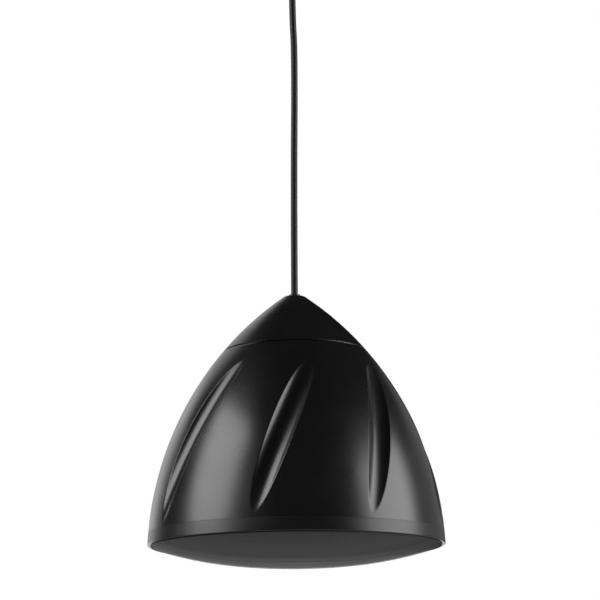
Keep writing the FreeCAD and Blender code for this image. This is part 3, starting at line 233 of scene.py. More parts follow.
def rounded(corners, steps=5):
    """Closed profile whose corners are arcs.

    Each corner is (radius, level, rounding): the arc touches both sides at the rounding
    over the tangent of half the corner, and is cut into equal steps.
    """
    corners = np.asarray(corners, float)
    at, size = corners[:, :2], corners[:, 2]
    into = at - np.roll(at, 1, 0)
    out = np.roll(at, -1, 0) - at
    into /= np.linalg.norm(into, axis=1)[:, None]
    out /= np.linalg.norm(out, axis=1)[:, None]
    points = []
    for p, a, b, r in zip(at, into, out, size):
        bend = math.acos(float(np.clip(a @ b, -1, 1)))
        if r == 0 or bend < 1e-4:
            points.append(p[None])
            continue
        reach = r * math.tan(bend / 2)
        towards = (b - a) / np.linalg.norm(b - a)
        middle = p + towards * (r / math.cos(bend / 2))
        first = (p - a * reach) - middle
        side = np.sign(a[0] * b[1] - a[1] * b[0])
        angles = side * np.linspace(0, bend, steps)
        c, s = np.cos(angles), np.sin(angles)
        arc = np.stack([c * first[0] - s * first[1], s * first[0] + c * first[1]], 1)
        points.append(middle + arc)
    return np.concatenate(points)


def lathe(profile, columns):
    """A closed profile of (radius, level) points turned about the axis.

    The profile runs counter-clockwise in section, so that the faces look outwards.
    """
    turn = np.arange(columns) / columns * 2 * math.pi
    radius, level = profile[:, 0][:, None], profile[:, 1][:, None]
    points = np.stack(np.broadcast_arrays(
        radius * np.cos(turn), radius * np.sin(turn), level - DROP), -1)
    return points, quads(len(profile), columns, wrap_rows=True)


def dome(profile, columns):
    """A profile that starts and ends on the axis, turned about it, with a fan at each pole."""
    turn = np.arange(columns) / columns * 2 * math.pi
    radius, level = profile[1:-1, 0][:, None], profile[1:-1, 1][:, None]
    rings = np.stack(np.broadcast_arrays(
        radius * np.cos(turn), radius * np.sin(turn), level - DROP), -1).reshape(-1, 3)
    poles = np.array([(0, 0, profile[0, 1] - DROP), (0, 0, profile[-1, 1] - DROP)])
    first, last = len(rings), len(rings) + 1
    here = np.arange(columns)
    after = (here + 1) % columns
    end = len(rings) - columns
    low_fan = np.stack([np.full(columns, first), after, here], -1)
    high_fan = np.stack([end + here, end + after, np.full(columns, last)], -1)
    faces = quads(len(profile) - 2, columns).tolist() + low_fan.tolist() + high_fan.tolist()
    return np.concatenate([rings, poles]), faces


def grille_curve(inset, reach, steps=48):
    """Lower face of the pan from the axis outwards, moved up by an inset and cut at a reach.

    The level falls from the edge to the middle as one less the radius over the edge's
    radius, raised to a power that keeps the middle flat and the edge steep.
    """
    grille = settings().speaker_grille
    edge = grille.radius - grille.corner
    deep = grille.depth - grille.corner
    radius = np.linspace(0, reach, steps)
    level = inset - grille.corner - deep * (1 - (radius / edge) ** GRILLE_POWER)
    return np.stack([radius, level], -1)


def grille_shape():
    """Points and faces of the pan: the domed sheet, its rolled corner, the wall and the flange."""
    grille = settings().speaker_grille
    out, corner, sheet = grille.radius, grille.corner, grille.sheet
    slope = math.atan(GRILLE_POWER * (grille.depth - corner) / (out - corner))
    turn = np.linspace(slope - math.pi / 2, 0, 9)
    start = out - corner + corner * math.sin(slope)
    roll = np.stack([out - corner + corner * np.cos(turn), corner * np.sin(turn)], -1)
    lower = grille_curve(corner - corner * math.cos(slope), out - corner)[:-1]
    lower[:, 0] *= start / (out - corner)
    turned_in = out - FLANGE_WIDTH
    flange = np.array([
        (out, FLANGE_LEVEL), (turned_in, FLANGE_LEVEL), (turned_in, FLANGE_LEVEL - sheet),
        (out - sheet, FLANGE_LEVEL - sheet), (out - sheet, WALL_FOOT)])
    upper = grille_curve(sheet, out - corner - sheet)[::-1]
    return dome(np.concatenate([lower, roll, flange, upper]), GRILLE_COLUMNS)


def scoop_gap(turn, level):
    """Signed distance from points of the ogive to the nearest scoop's tube.

    A scoop is a round tube swept on a large ring whose lowest point sinks into the wall,
    leant about the wall's normal. The distance is the length from the tube's centre line
    less the tube's radius, and is negative where the wall is cut.
    """
    return tube_distance(ogive(level) * np.cos(turn), ogive(level) * np.sin(turn), level)


def tube_distance(x, y, level):
    """Distance of points to the tube of the scoop at the centre of its own sector."""
    slope = math.asin((SCOOP_LEVEL - OGIVE_LEVEL) / OGIVE_RADIUS)
    c, s = math.cos(SCOOP_TURN), math.sin(SCOOP_TURN)
    normal = np.array([math.cos(slope) * c, math.cos(slope) * s, math.sin(slope)])
    upward = np.array([-math.sin(slope) * c, -math.sin(slope) * s, math.cos(slope)])
    across = np.array([-s, c, 0.0])
    along = upward * math.cos(SCOOP_LEAN) + across * math.sin(SCOOP_LEAN)
    sideways = np.cross(normal, along)
    reach = float(ogive(SCOOP_LEVEL))
    foot = np.array([reach * c, reach * s, SCOOP_LEVEL])
    centre = foot + normal * (SCOOP_TUBE - SCOOP_DEPTH - SCOOP_RING)
    offset = np.stack(np.broadcast_arrays(x, y, level), -1) - centre
    from_ring = np.hypot(offset @ normal, offset @ along) - SCOOP_RING
    return np.hypot(from_ring, offset @ sideways) - SCOOP_TUBE


def soft_max(a, b, width):
    """Larger of two distances, blended by a parabola where they are closer than the width."""
    blend = np.clip(0.5 + 0.5 * (a - b) / width, 0, 1)
    return a * blend + b * (1 - blend) + width * blend * (1 - blend)


def carve(turn, level, softness):
    """Depth along the wall's normal at which the scooped form's soft surface lies.

    The form is inside the ogive and outside the tube. Its distance is the soft larger of
    the ogive's distance and the tube's taken negative, and the depth is where it is zero,
    found by halving an interval.
    """
    radius = ogive(level)
    tilt = np.arcsin((level - OGIVE_LEVEL) / OGIVE_RADIUS)
    shallow = np.zeros(np.broadcast(turn, level).shape)
    deep = np.full_like(shallow, DEEPEST_CUT)
    for _ in range(HALVINGS):
        depth = (shallow + deep) / 2
        r = radius - depth * np.cos(tilt)
        z = level - depth * np.sin(tilt)
        gap = tube_distance(r * np.cos(turn), r * np.sin(turn), z)
        outside = soft_max(-depth, -gap, softness) > 0
        shallow = np.where(outside, depth, shallow)
        deep = np.where(outside, deep, depth)
    return (shallow + deep) / 2


def scoop_columns(levels, inner=26, edge=9, outer=12):
    """Turns of a sector's columns at each level, gathered at the scoop's two edges.

    The edges are where the tube's distance on the ogive is zero, found on a fine grid.
    Above and below the scoop they run on at a small width along its leaning line.
    """
    half = math.pi / SCOOPS
    fine = np.linspace(-half, half, FINE_STEPS)
    turns = SCOOP_TURN + fine[None, :] + lean_at(levels)[:, None]
    gaps = scoop_gap(turns, levels[:, None])
    middle = np.take_along_axis(turns, gaps.argmin(1)[:, None], 1)[:, 0]
    inside = gaps < 0
    row = np.arange(len(levels))
    first, last = inside.argmax(1), inside.shape[1] - 1 - inside[:, ::-1].argmax(1)
    left = np.where(inside.any(1), turns[row, first], middle)
    right = np.where(inside.any(1), turns[row, last], middle)
    centre = (left + right) / 2
    reach = np.maximum((right - left) / 2, LEAST_HALF_WIDTH)
    soft = EDGE_REACH / settings().speaker_bell.rim_radius
    across = (reach - soft)[:, None].clip(1e-4) * np.linspace(-1, 1, inner)
    inner_part = centre[:, None] + across
    near = np.linspace(-1, 1, edge)[1:]
    right_edge = (centre + reach)[:, None] + soft * near
    left_edge = (centre - reach)[:, None] - soft * near
    start, stop = right_edge[:, -1:], left_edge[:, -1:] + 2 * half
    share_across = np.linspace(0, 1, outer + 1)[1:-1]
    ease = share_across - 0.35 * np.sin(2 * math.pi * share_across) / (2 * math.pi)
    between = start + (stop - start) * ease
    return np.concatenate([left_edge[:, ::-1], inner_part, right_edge, between], 1)


def lean_at(levels):
    """Turn of a scoop's line at a level: its share of the lean's tangent times rise over radius."""
    return np.tan(SCOOP_LEAN) * (levels - SCOOP_LEVEL) / ogive(levels) * LINE_SHARE


def rows_at(turns, radius, level):
    """Rows of points from arrays of turns, radii and levels that fit one another."""
    return np.stack(np.broadcast_arrays(radius * np.cos(turns), radius * np.sin(turns), level), -1)


def round_the_axis(sector):
    """A sector's rows of points repeated round the axis, and moved to the frame's level."""
    turns = np.arange(SCOOPS) * 2 * math.pi / SCOOPS
    c, s = np.cos(turns)[:, None], np.sin(turns)[:, None]
    x, y, z = sector[:, None, :, 0], sector[:, None, :, 1], sector[:, None, :, 2]
    whole = np.stack(np.broadcast_arrays(x * c - y * s, x * s + y * c, z), -1)
    points = whole.reshape(len(sector), -1, 3)
    points[..., 2] -= DROP
    return points


def bell_shape():
    """Points and quads of the shell: the scooped face, the top edge, the deck and the inner wall."""
    bell = settings().speaker_bell
    low, high = bell.low, bell.high
    levels = np.linspace(low + EDGE_ROUNDING, high - EDGE_ROUNDING, FACE_ROWS)
    columns = scoop_columns(levels)
    depth = carve(columns, levels[:, None], bell.scoop_softness)
    tilt = np.arcsin((levels - OGIVE_LEVEL) / OGIVE_RADIUS)[:, None]
    outside, rise = ogive(levels)[:, None], levels[:, None]
    face = rows_at(columns, outside - depth * np.cos(tilt), rise - depth * np.sin(tilt))
    deck = rounded([
        (float(ogive(high)), high, EDGE_ROUNDING), (RECESS_RADIUS, high, 0.0004),
        (RECESS_RADIUS, DECK_LEVEL, 0.0006), (DECK_HOLE, DECK_LEVEL, 0),
        (DECK_HOLE, DECK_LEVEL - DECK_THICKNESS, 0)], 4)
    top = rows_at(columns[-1:], deck[:, :1], deck[:, 1:])
    behind = depth + bell.wall
    wall = rows_at(columns, outside - behind * np.cos(tilt), rise - behind * np.sin(tilt))
    wall = wall[np.linspace(0, FACE_ROWS - 1, INNER_ROWS).astype(int)[::-1]]
    foot_radii = np.array([[float(ogive(low, bell.wall))], [float(ogive(low))]])
    foot = rows_at(columns[:1], foot_radii, low)
    points = round_the_axis(np.concatenate([face, top, wall, foot]))
    return points, quads(len(points), points.shape[1], wrap_rows=True)


# Finishes

def add(tree, kind, operation=None, **values):
    """A node of a kind in the tree.

    Values are set on the inputs of that name, or linked to them. n0, n1 and so on are inputs
    by number.
    """
    node = tree.nodes.new(kind)
    if operation is not None:
        node.operation = operation
    for key, value in values.items():
        numbered = key[0] == "n" and key[1:].isdigit()
        socket = node.inputs[int(key[1:]) if numbered else key.replace("_", " ")]
        if isinstance(value, bpy.types.NodeSocket):
            tree.links.new(value, socket)
        else:
            socket.default_value = value
    return node


def effect(name, inputs, outputs, wire):
    """A shader node group built once: inputs and outputs are (name, kind, default) rows."""
    group = bpy.data.node_groups.get(name)
    if group:
        return group
    group = bpy.data.node_groups.new(name, "ShaderNodeTree")
    for label, kind, default in inputs:
        socket = group.interface.new_socket(label, in_out="INPUT", socket_type=kind)
        if default is not None:
            socket.default_value = default
    for label, kind in outputs:
        group.interface.new_socket(label, in_out="OUTPUT", socket_type=kind)
    start, end = group.nodes.new("NodeGroupInput"), group.nodes.new("NodeGroupOutput")
    for label, socket in wire(group, start.outputs).items():
        group.links.new(socket, end.inputs[label])
    return group


VECTOR, FLOAT = "NodeSocketVector", "NodeSocketFloat"


def grain_effect():
    """Fine grain over a slow mottle."""
    def wire(tree, start):
        fine = add(tree, "ShaderNodeTexNoise", Vector=start["Vector"], Scale=start["Scale"],
                   Detail=4.0)
        slow = add(tree, "ShaderNodeTexNoise", Vector=start["Vector"], Scale=14.0, Detail=3.0)
        return {"Height": fine.outputs["Fac"], "Tone": slow.outputs["Fac"]}
    return effect("Fine grain", [("Vector", VECTOR, None), ("Scale", FLOAT, 900.0)],
                  [("Height", FLOAT), ("Tone", FLOAT)], wire)


def brushed_effect():
    """Long fine lines along X, with a slow mottle."""
    def wire(tree, start):
        thin = add(tree, "ShaderNodeVectorMath", "MULTIPLY", n0=start["Vector"],
                   n1=(0.04, 1.0, 1.0))
        lines = add(tree, "ShaderNodeTexNoise", Vector=thin.outputs[0], Scale=start["Scale"],
                    Detail=3.0)
        slow = add(tree, "ShaderNodeTexNoise", Vector=start["Vector"], Scale=30.0, Detail=4.0)
        return {"Height": lines.outputs["Fac"], "Tone": slow.outputs["Fac"]}
    return effect("Brushed lines", [("Vector", VECTOR, None), ("Scale", FLOAT, 1500.0)],
                  [("Height", FLOAT), ("Tone", FLOAT)], wire)


def weave_effect():
    """Threads over and under: sines of the two directions multiplied."""
    def wire(tree, start):
        apart = add(tree, "ShaderNodeSeparateXYZ", Vector=start["Vector"])
        turns = [add(tree, "ShaderNodeMath", "MULTIPLY", n0=apart.outputs[k], n1=start["Scale"])
                 for k in (0, 1)]
        warp, weft = [add(tree, "ShaderNodeMath", "SINE", n0=turn.outputs[0]).outputs[0]
                      for turn in turns]
        both = add(tree, "ShaderNodeMath", "MULTIPLY", n0=warp, n1=weft)
        high = add(tree, "ShaderNodeMath", "MULTIPLY_ADD", n0=both.outputs[0], n1=0.5, n2=0.5)
        slow = add(tree, "ShaderNodeTexNoise", Vector=start["Vector"], Scale=60.0, Detail=4.0)
        return {"Height": high.outputs[0], "Tone": slow.outputs["Fac"]}
    return effect("Weave", [("Vector", VECTOR, None), ("Scale", FLOAT, 5000.0)],
                  [("Height", FLOAT), ("Tone", FLOAT)], wire)


def layers_effect():
    """Thin layers along one direction, as stacked sheets or wound wire."""
    def wire(tree, start):
        along = add(tree, "ShaderNodeVectorMath", "DOT_PRODUCT", n0=start["Vector"],
                    n1=start["Direction"])
        turns = add(tree, "ShaderNodeMath", "MULTIPLY", n0=along.outputs["Value"],
                    n1=start["Scale"])
        wave = add(tree, "ShaderNodeMath", "SINE", n0=turns.outputs[0])
        high = add(tree, "ShaderNodeMath", "MULTIPLY_ADD", n0=wave.outputs[0], n1=0.5, n2=0.5)
        slow = add(tree, "ShaderNodeTexNoise", Vector=start["Vector"], Scale=80.0, Detail=4.0)
        return {"Height": high.outputs[0], "Tone": slow.outputs["Fac"]}
    return effect("Layers",
                  [("Vector", VECTOR, None), ("Direction", VECTOR, None), ("Scale", FLOAT, 9000.0)],
                  [("Height", FLOAT), ("Tone", FLOAT)], wire)


def perforation_effect():
    """Round holes in staggered rows: the lesser of the distances to two shifted lattices."""
    def wire(tree, start):
        apart = []
        for shift in ((0.0, 0.0, 0.0), (0.5, 0.5, 0.0)):
            scaled = add(tree, "ShaderNodeVectorMath", "DIVIDE", n0=start["Vector"],
                         n1=start["Pitch"])
            moved = add(tree, "ShaderNodeVectorMath", "ADD", n0=scaled.outputs[0], n1=shift)
            cell = add(tree, "ShaderNodeVectorMath", "FRACTION", n0=moved.outputs[0])
            centred = add(tree, "ShaderNodeVectorMath", "SUBTRACT", n0=cell.outputs[0],
                          n1=(0.5, 0.5, 0.5))
            flat = add(tree, "ShaderNodeVectorMath", "MULTIPLY", n0=centred.outputs[0],
                       n1=(1.0, 1.0, 0.0))
            away = add(tree, "ShaderNodeVectorMath", "LENGTH", n0=flat.outputs[0])
            apart.append(away.outputs["Value"])
        near = add(tree, "ShaderNodeMath", "MINIMUM", n0=apart[0], n1=apart[1])
        sheet = add(tree, "ShaderNodeMapRange", Value=near.outputs[0], From_Min=start["Hole"],
                    From_Max=start["Rim"])
        slow = add(tree, "ShaderNodeTexNoise", Vector=start["Vector"], Scale=30.0, Detail=3.0)
        return {"Sheet": sheet.outputs[0], "Tone": slow.outputs["Fac"]}
    return effect("Perforation", [("Vector", VECTOR, None), ("Pitch", VECTOR, (0.002, 0.002, 1.0)),
                                  ("Hole", FLOAT, 0.2), ("Rim", FLOAT, 0.24)],
                  [("Sheet", FLOAT), ("Tone", FLOAT)], wire)


# Each slot's base colour, roughness, metallic, effect, scale, bump height in metres and tone
# swing. None stands where a setting holds the value.
FINISHES = {
    "bell_plastic": (None, None, 0.0, grain_effect, 1600.0, 0.000004, 0.10),
    "cap_plastic": (None, None, 0.0, grain_effect, 1600.0, 0.000004, 0.10),
    "baffle_plastic": (None, None, 0.0, grain_effect, 1600.0, 0.000003, 0.10),
    "port_plastic": ((0.015, 0.015, 0.015), 0.45, 0.0, grain_effect, 900.0, 0.00001, 0.2),
    "screw_black": ((0.02, 0.02, 0.021), 0.38, 0.6, grain_effect, 2500.0, 0.000004, 0.3),
    "lining_felt": ((0.30, 0.30, 0.29), 0.95, 0.0, grain_effect, 420.0, 0.0006, 0.3),
    "basket_steel": ((0.022, 0.022, 0.023), 0.42, 0.3, grain_effect, 1200.0, 0.00001, 0.2),
    "motor_steel": ((0.55, 0.56, 0.57), 0.32, 1.0, brushed_effect, 1500.0, 0.000003, 0.2),
    "magnet_ferrite": ((0.045, 0.045, 0.05), 0.6, 0.0, grain_effect, 800.0, 0.00003, 0.3),
    "cone_paper": ((0.025, 0.025, 0.026), 0.8, 0.0, grain_effect, 700.0, 0.00006, 0.35),
    "surround_rubber": ((0.014, 0.014, 0.014), 0.5, 0.0, grain_effect, 1800.0, 0.000005, 0.2),
    "spider_cloth": ((0.42, 0.30, 0.09), 0.85, 0.0, weave_effect, 6000.0, 0.00005, 0.3),
    "coil_copper": ((0.72, 0.29, 0.13), 0.35, 1.0, layers_effect, 12000.0, 0.00004, 0.25),
    "terminal_plastic": ((0.70, 0.70, 0.66), 0.4, 0.0, grain_effect, 1400.0, 0.000006, 0.1),
    "board_laminate": ((0.035, 0.16, 0.07), 0.35, 0.0, weave_effect, 7000.0, 0.000006, 0.2),
    "capacitor_skin": ((0.05, 0.12, 0.33), 0.35, 0.0, grain_effect, 900.0, 0.00001, 0.2),
    "tweeter_plastic": ((0.013, 0.013, 0.013), 0.4, 0.0, grain_effect, 1500.0, 0.000005, 0.15),
    "dome_silk": ((0.05, 0.05, 0.055), 0.7, 0.0, weave_effect, 14000.0, 0.00002, 0.3),
    "zinc_steel": ((0.60, 0.61, 0.62), 0.30, 1.0, brushed_effect, 1800.0, 0.000003, 0.3),
    "gland_nylon": ((0.02, 0.02, 0.021), 0.42, 0.0, grain_effect, 1500.0, 0.000006, 0.15),
    "ferrule_brass": ((0.66, 0.48, 0.19), 0.3, 1.0, brushed_effect, 2000.0, 0.000004, 0.25),
    "switch_plastic": ((0.025, 0.025, 0.026), 0.42, 0.0, grain_effect, 1400.0, 0.000006, 0.15),
    "core_laminations": ((0.30, 0.30, 0.31), 0.42, 0.9, layers_effect, 12500.0, 0.00005, 0.3),
    "winding_tape": ((0.62, 0.47, 0.10), 0.45, 0.0, layers_effect, 900.0, 0.00006, 0.2),
    "canopy_metal": (None, None, 0.0, grain_effect, 1500.0, 0.000006, 0.10),
    "grille_cloth": ((0.006, 0.006, 0.006), 0.9, 0.0, weave_effect, 9000.0, 0.00002, 0.2),
    "cord_jacket": (None, 0.42, 0.0, grain_effect, 1800.0, 0.000006, 0.15),
    "wire_black": ((0.015, 0.015, 0.015), 0.4, 0.0, grain_effect, 2000.0, 0.000006, 0.15),
    "wire_red": ((0.40, 0.012, 0.01), 0.4, 0.0, grain_effect, 2000.0, 0.000006, 0.15),
}
# The part of the slow tone that is spread over the swing.
TONE_LOW, TONE_HIGH = 0.3, 0.7
ROUGHNESS_SWING = 0.12
# The rim is glossy up to the first level and plain from the second.
LIP_LEVELS = (0.0004, 0.001)
LIP_ROUGHNESS = 0.1
CORD_GLOSS = 0.25
# The slots that follow the plastic's settings, with their roughness over the bell's.
MOULDED = {"bell_plastic": 1.0, "cap_plastic": 1.0, "baffle_plastic": 1.25, "canopy_metal": 1.3}
DIRECTIONS = {"coil_copper": (0, 0, 1), "core_laminations": (0, 1, 0), "winding_tape": (0, 0, 1)}


def chosen(slot):
    """Colour and roughness of a slot: the user's setting where there is one, else the table's."""
    bell, cord = settings().speaker_bell, settings().speaker_cord
    if slot in MOULDED:
        return bell.plastic, bell.plastic_roughness * MOULDED[slot]
    if slot == "cord_jacket":
        return cord.jacket, FINISHES[slot][1]
    return FINISHES[slot][:2]


def plain_finish(slot):
    """Material of a slot.

    Its colour and roughness swing with the effect's slow tone, and its bump is the effect's
    height. The rim's lip is glossier than the rest of the rim, and the cord has a faint gloss.
    """
    metal, build, scale, bump, swing = FINISHES[slot][2:]
    base, rough = chosen(slot)
    material = bpy.data.materials.new(slot + "_finish")
    material.use_nodes = True
    tree = material.node_tree
    tree.nodes.clear()
    where = add(tree, "ShaderNodeTexCoord").outputs["Object"]
    group = add(tree, "ShaderNodeGroup")
    group.node_tree = build()
    tree.links.new(where, group.inputs["Vector"])
    group.inputs["Scale"].default_value = scale
    if slot in DIRECTIONS:
        group.inputs["Direction"].default_value = DIRECTIONS[slot]
    ramp = add(tree, "ShaderNodeMapRange", Value=group.outputs["Tone"], From_Min=TONE_LOW,
               From_Max=TONE_HIGH)
    mix = add(tree, "ShaderNodeMix")
    mix.data_type = "RGBA"
    dark, light = [tuple(c * k for c in base) + (1.0,) for k in (1 - swing, 1 + swing)]
    tree.links.new(ramp.outputs[0], mix.inputs["Factor"])
    mix.inputs[6].default_value, mix.inputs[7].default_value = dark, light
    roughness = add(tree, "ShaderNodeMapRange", Value=group.outputs["Tone"], From_Min=TONE_LOW,
                    From_Max=TONE_HIGH, To_Min=rough * (1 - ROUGHNESS_SWING),
                    To_Max=min(1.0, rough * (1 + ROUGHNESS_SWING)))
    if slot == "baffle_plastic":
        height = add(tree, "ShaderNodeSeparateXYZ", Vector=where)
        glossy, plain = LIP_LEVELS
        roughness = add(tree, "ShaderNodeMapRange", Value=height.outputs["Z"],
                        From_Min=glossy - DROP, From_Max=plain - DROP, To_Min=LIP_ROUGHNESS,
                        To_Max=roughness.outputs[0])
    relief = add(tree, "ShaderNodeBump", Height=group.outputs["Height"], Distance=bump)
    surface = add(tree, "ShaderNodeBsdfPrincipled", Base_Color=mix.outputs[2],
                  Roughness=roughness.outputs[0], Metallic=metal, Normal=relief.outputs[0])
    if slot == "cord_jacket":
        surface.inputs["Specular IOR Level"].default_value = CORD_GLOSS
    out = tree.nodes.new("ShaderNodeOutputMaterial")
    tree.links.new(surface.outputs[0], out.inputs["Surface"])
    return material


def perforated_finish(slot):
    """Powder-coated sheet whose holes are cut by the perforation's mask."""
    grille = settings().speaker_grille
    material = bpy.data.materials.new(slot + "_finish")
    material.use_nodes = True
    tree = material.node_tree
    tree.nodes.clear()
    where = add(tree, "ShaderNodeTexCoord").outputs["Object"]
    holes = add(tree, "ShaderNodeGroup")
    holes.node_tree = perforation_effect()
    tree.links.new(where, holes.inputs["Vector"])
    holes.inputs["Pitch"].default_value = (grille.pitch, grille.pitch, 1.0)
    hole = grille.open_share * HALF_NEIGHBOUR
    holes.inputs["Hole"].default_value = hole - HOLE_BLUR
    holes.inputs["Rim"].default_value = hole + HOLE_BLUR
    relief = add(tree, "ShaderNodeBump", Height=holes.outputs["Sheet"], Distance=HOLE_RELIEF)
    surface = add(tree, "ShaderNodeBsdfPrincipled", Base_Color=(*grille.paint, 1.0),
                  Roughness=grille.paint_roughness, Alpha=holes.outputs["Sheet"],
                  Normal=relief.outputs[0])
    out = tree.nodes.new("ShaderNodeOutputMaterial")
    tree.links.new(surface.outputs[0], out.inputs["Surface"])
    return material


MADE = {}


def finish(slot):
    """The slot's material, made once."""
    if slot not in MADE:
        MADE[slot] = perforated_finish(slot) if slot == "grille_metal" else plain_finish(slot)
    return MADE[slot]


def dress(*pieces):
    """Gives carried-over pieces the materials of their slots."""
    for piece in pieces:
        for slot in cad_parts[piece].material_slots:
            slot.material = finish(slot.material.name.split(".")[0].removesuffix("_finish"))


# Camera and stage

def camera():
    """Camera at the photograph's angle: low, pitched up, with a long lens and a slight roll."""
    data = bpy.data.cameras.new("camera")
    data.sensor_width = 36.0
    data.lens = FOCAL_PIXELS * data.sensor_width / PICTURE_PIXELS
    data.clip_end = 60.0
    view = bpy.data.objects.new("camera", data)
    view.location = CAMERA_PLACE
    view.rotation_mode = "QUATERNION"
    roll = Euler((0, 0, CAMERA_ROLL)).to_quaternion()
    view.rotation_quaternion = Euler((math.pi / 2 + CAMERA_PITCH, 0, 0)).to_quaternion() @ roll
    bpy.context.scene.collection.objects.link(view)
    bpy.context.scene.camera = view


def pale_surface(name, colour_value):
    """Pale surface of the stage: paint that the camera, gloss and glass see as white."""
    material = bpy.data.materials.new(name)
    material.use_nodes = True
    tree = material.node_tree
    tree.nodes.clear()
    rays = add(tree, "ShaderNodeLightPath").outputs
    seen = add(tree, "ShaderNodeMath", "MAXIMUM", n0=rays["Is Camera Ray"],
               n1=rays["Is Glossy Ray"])
    seen = add(tree, "ShaderNodeMath", "MAXIMUM", n0=seen.outputs[0],
               n1=rays["Is Transmission Ray"])
    paint = add(tree, "ShaderNodeBsdfDiffuse", Color=(*colour_value, 1.0))
    level = add(tree, "ShaderNodeMapRange", Value=rays["Is Camera Ray"], To_Min=GLOSS_WHITE,
                To_Max=1.0)
    white = add(tree, "ShaderNodeEmission", Color=(1.0, 1.0, 1.0, 1.0), Strength=level.outputs[0])
    mixed = add(tree, "ShaderNodeMixShader", n0=seen.outputs[0], n1=paint.outputs[0],
                n2=white.outputs[0])
    out = tree.nodes.new("ShaderNodeOutputMaterial")
    tree.links.new(mixed.outputs[0], out.inputs["Surface"])
    return material


def floor_surface(name, colour_value):
    """Pale floor: paint that keeps the object's shadow, over a pale level that only the camera sees.

    The level grows with the distance from the middle, so that the floor runs out into white.
    From below the floor is clear, so that it doesn't hide the bell's underside.
    """
    material = bpy.data.materials.new(name)
    material.use_nodes = True
    tree = material.node_tree
    tree.nodes.clear()
    rays = add(tree, "ShaderNodeLightPath").outputs
    paint = add(tree, "ShaderNodeBsdfDiffuse", Color=(*colour_value, 1.0))
    where = add(tree, "ShaderNodeTexCoord").outputs["Object"]
    away = add(tree, "ShaderNodeVectorMath", "LENGTH", n0=where)
    fade = add(tree, "ShaderNodeMapRange", Value=away.outputs["Value"], From_Min=FLOOR_FADE[0],
               From_Max=FLOOR_FADE[1], To_Min=FLOOR_WHITE, To_Max=1.0)
    level = add(tree, "ShaderNodeMath", "MULTIPLY", n0=rays["Is Camera Ray"], n1=fade.outputs[0])
    pale = add(tree, "ShaderNodeEmission", Color=(1.0, 1.0, 1.0, 1.0), Strength=level.outputs[0])
    both = add(tree, "ShaderNodeAddShader", n0=paint.outputs[0], n1=pale.outputs[0])
    below = add(tree, "ShaderNodeNewGeometry").outputs["Backfacing"]
    clear = add(tree, "ShaderNodeBsdfTransparent")
    mixed = add(tree, "ShaderNodeMixShader", n0=below, n1=both.outputs[0], n2=clear.outputs[0])
    out = tree.nodes.new("ShaderNodeOutputMaterial")
    tree.links.new(mixed.outputs[0], out.inputs["Surface"])
    return material


def stage_mesh(name, points, faces, material):
    """A plain mesh of the stage, which isn't part of the object."""
    mesh = bpy.data.meshes.new(name)
    mesh.from_pydata(points, [], faces)
    mesh.materials.append(material)
    piece = bpy.data.objects.new(name, mesh)
    bpy.context.scene.collection.objects.link(piece)


def soft_lamp(name, azimuth, elevation, width, height, radiance, distance):
    """Rectangular lamp facing the bell. Azimuth 0 is the camera's side and grows to the right."""
    data = bpy.data.lights.new(name, "AREA")
    data.shape = "RECTANGLE"
    data.size, data.size_y = width, height
    data.energy = radiance * math.pi * width * height
    lamp = bpy.data.objects.new(name, data)
    a, e = math.radians(azimuth), math.radians(elevation)
    way = np.array([math.sin(a) * math.cos(e), -math.cos(a) * math.cos(e), math.sin(e)])
    lamp.location = np.array(LAMPS_AIM) + way * distance
    lamp.rotation_euler = (math.pi / 2 - e, 0, a)
    lamp.visible_camera = False
    bpy.context.scene.collection.objects.link(lamp)


class SPEAKER_OT_stage(bpy.types.Operator):
    """Sets up the floor, the backdrop, the soft lamps, the world and the camera"""
    bl_idname = "speaker.stage"
    bl_label = "Stage"

    def execute(self, context):
        stage = settings().speaker_stage
        camera()
        corners = [(x * FLOOR_REACH, y * FLOOR_REACH, FLOOR_LEVEL)
                   for x, y in ((-1, -1), (1, -1), (1, 1), (-1, 1))]
        stage_mesh("floor", corners, [(0, 1, 2, 3)], floor_surface("floor_paint", stage.pale))
        turn = np.radians(np.linspace(*BACKDROP_TURNS, BACKDROP_COLUMNS))
        low = np.stack([BACKDROP_DISTANCE * np.cos(turn), BACKDROP_DISTANCE * np.sin(turn),
                        np.full(BACKDROP_COLUMNS, FLOOR_LEVEL)], -1)
        wall = np.concatenate([low, low + (0, 0, BACKDROP_HEIGHT)]).tolist()
        panes = [(k, k + BACKDROP_COLUMNS, k + BACKDROP_COLUMNS + 1, k + 1)
                 for k in range(BACKDROP_COLUMNS - 1)]
        stage_mesh("backdrop", wall, panes, pale_surface("backdrop_paint", stage.pale))
        world = bpy.data.worlds.new("room")
        context.scene.world = world
        world.use_nodes = True
        tree = world.node_tree
        tree.nodes.clear()
        rays = add(tree, "ShaderNodeLightPath").outputs
        dim = add(tree, "ShaderNodeBackground", Color=(1.0, 1.0, 1.0, 1.0), Strength=stage.surround)
        white = add(tree, "ShaderNodeBackground", Color=(1.0, 1.0, 1.0, 1.0), Strength=1.0)
        mixed = add(tree, "ShaderNodeMixShader", n0=rays["Is Camera Ray"], n1=dim.outputs[0],
                    n2=white.outputs[0])
        out = tree.nodes.new("ShaderNodeOutputWorld")
        tree.links.new(mixed.outputs[0], out.inputs["Surface"])
        for name, azimuth, elevation, width, height, radiance in LAMPS:
            soft_lamp(name, azimuth, elevation, width, height, radiance * stage.lamp_power,
                      stage.lamp_distance)
        context.scene.view_settings.view_transform = "Standard"
        return {"FINISHED"}


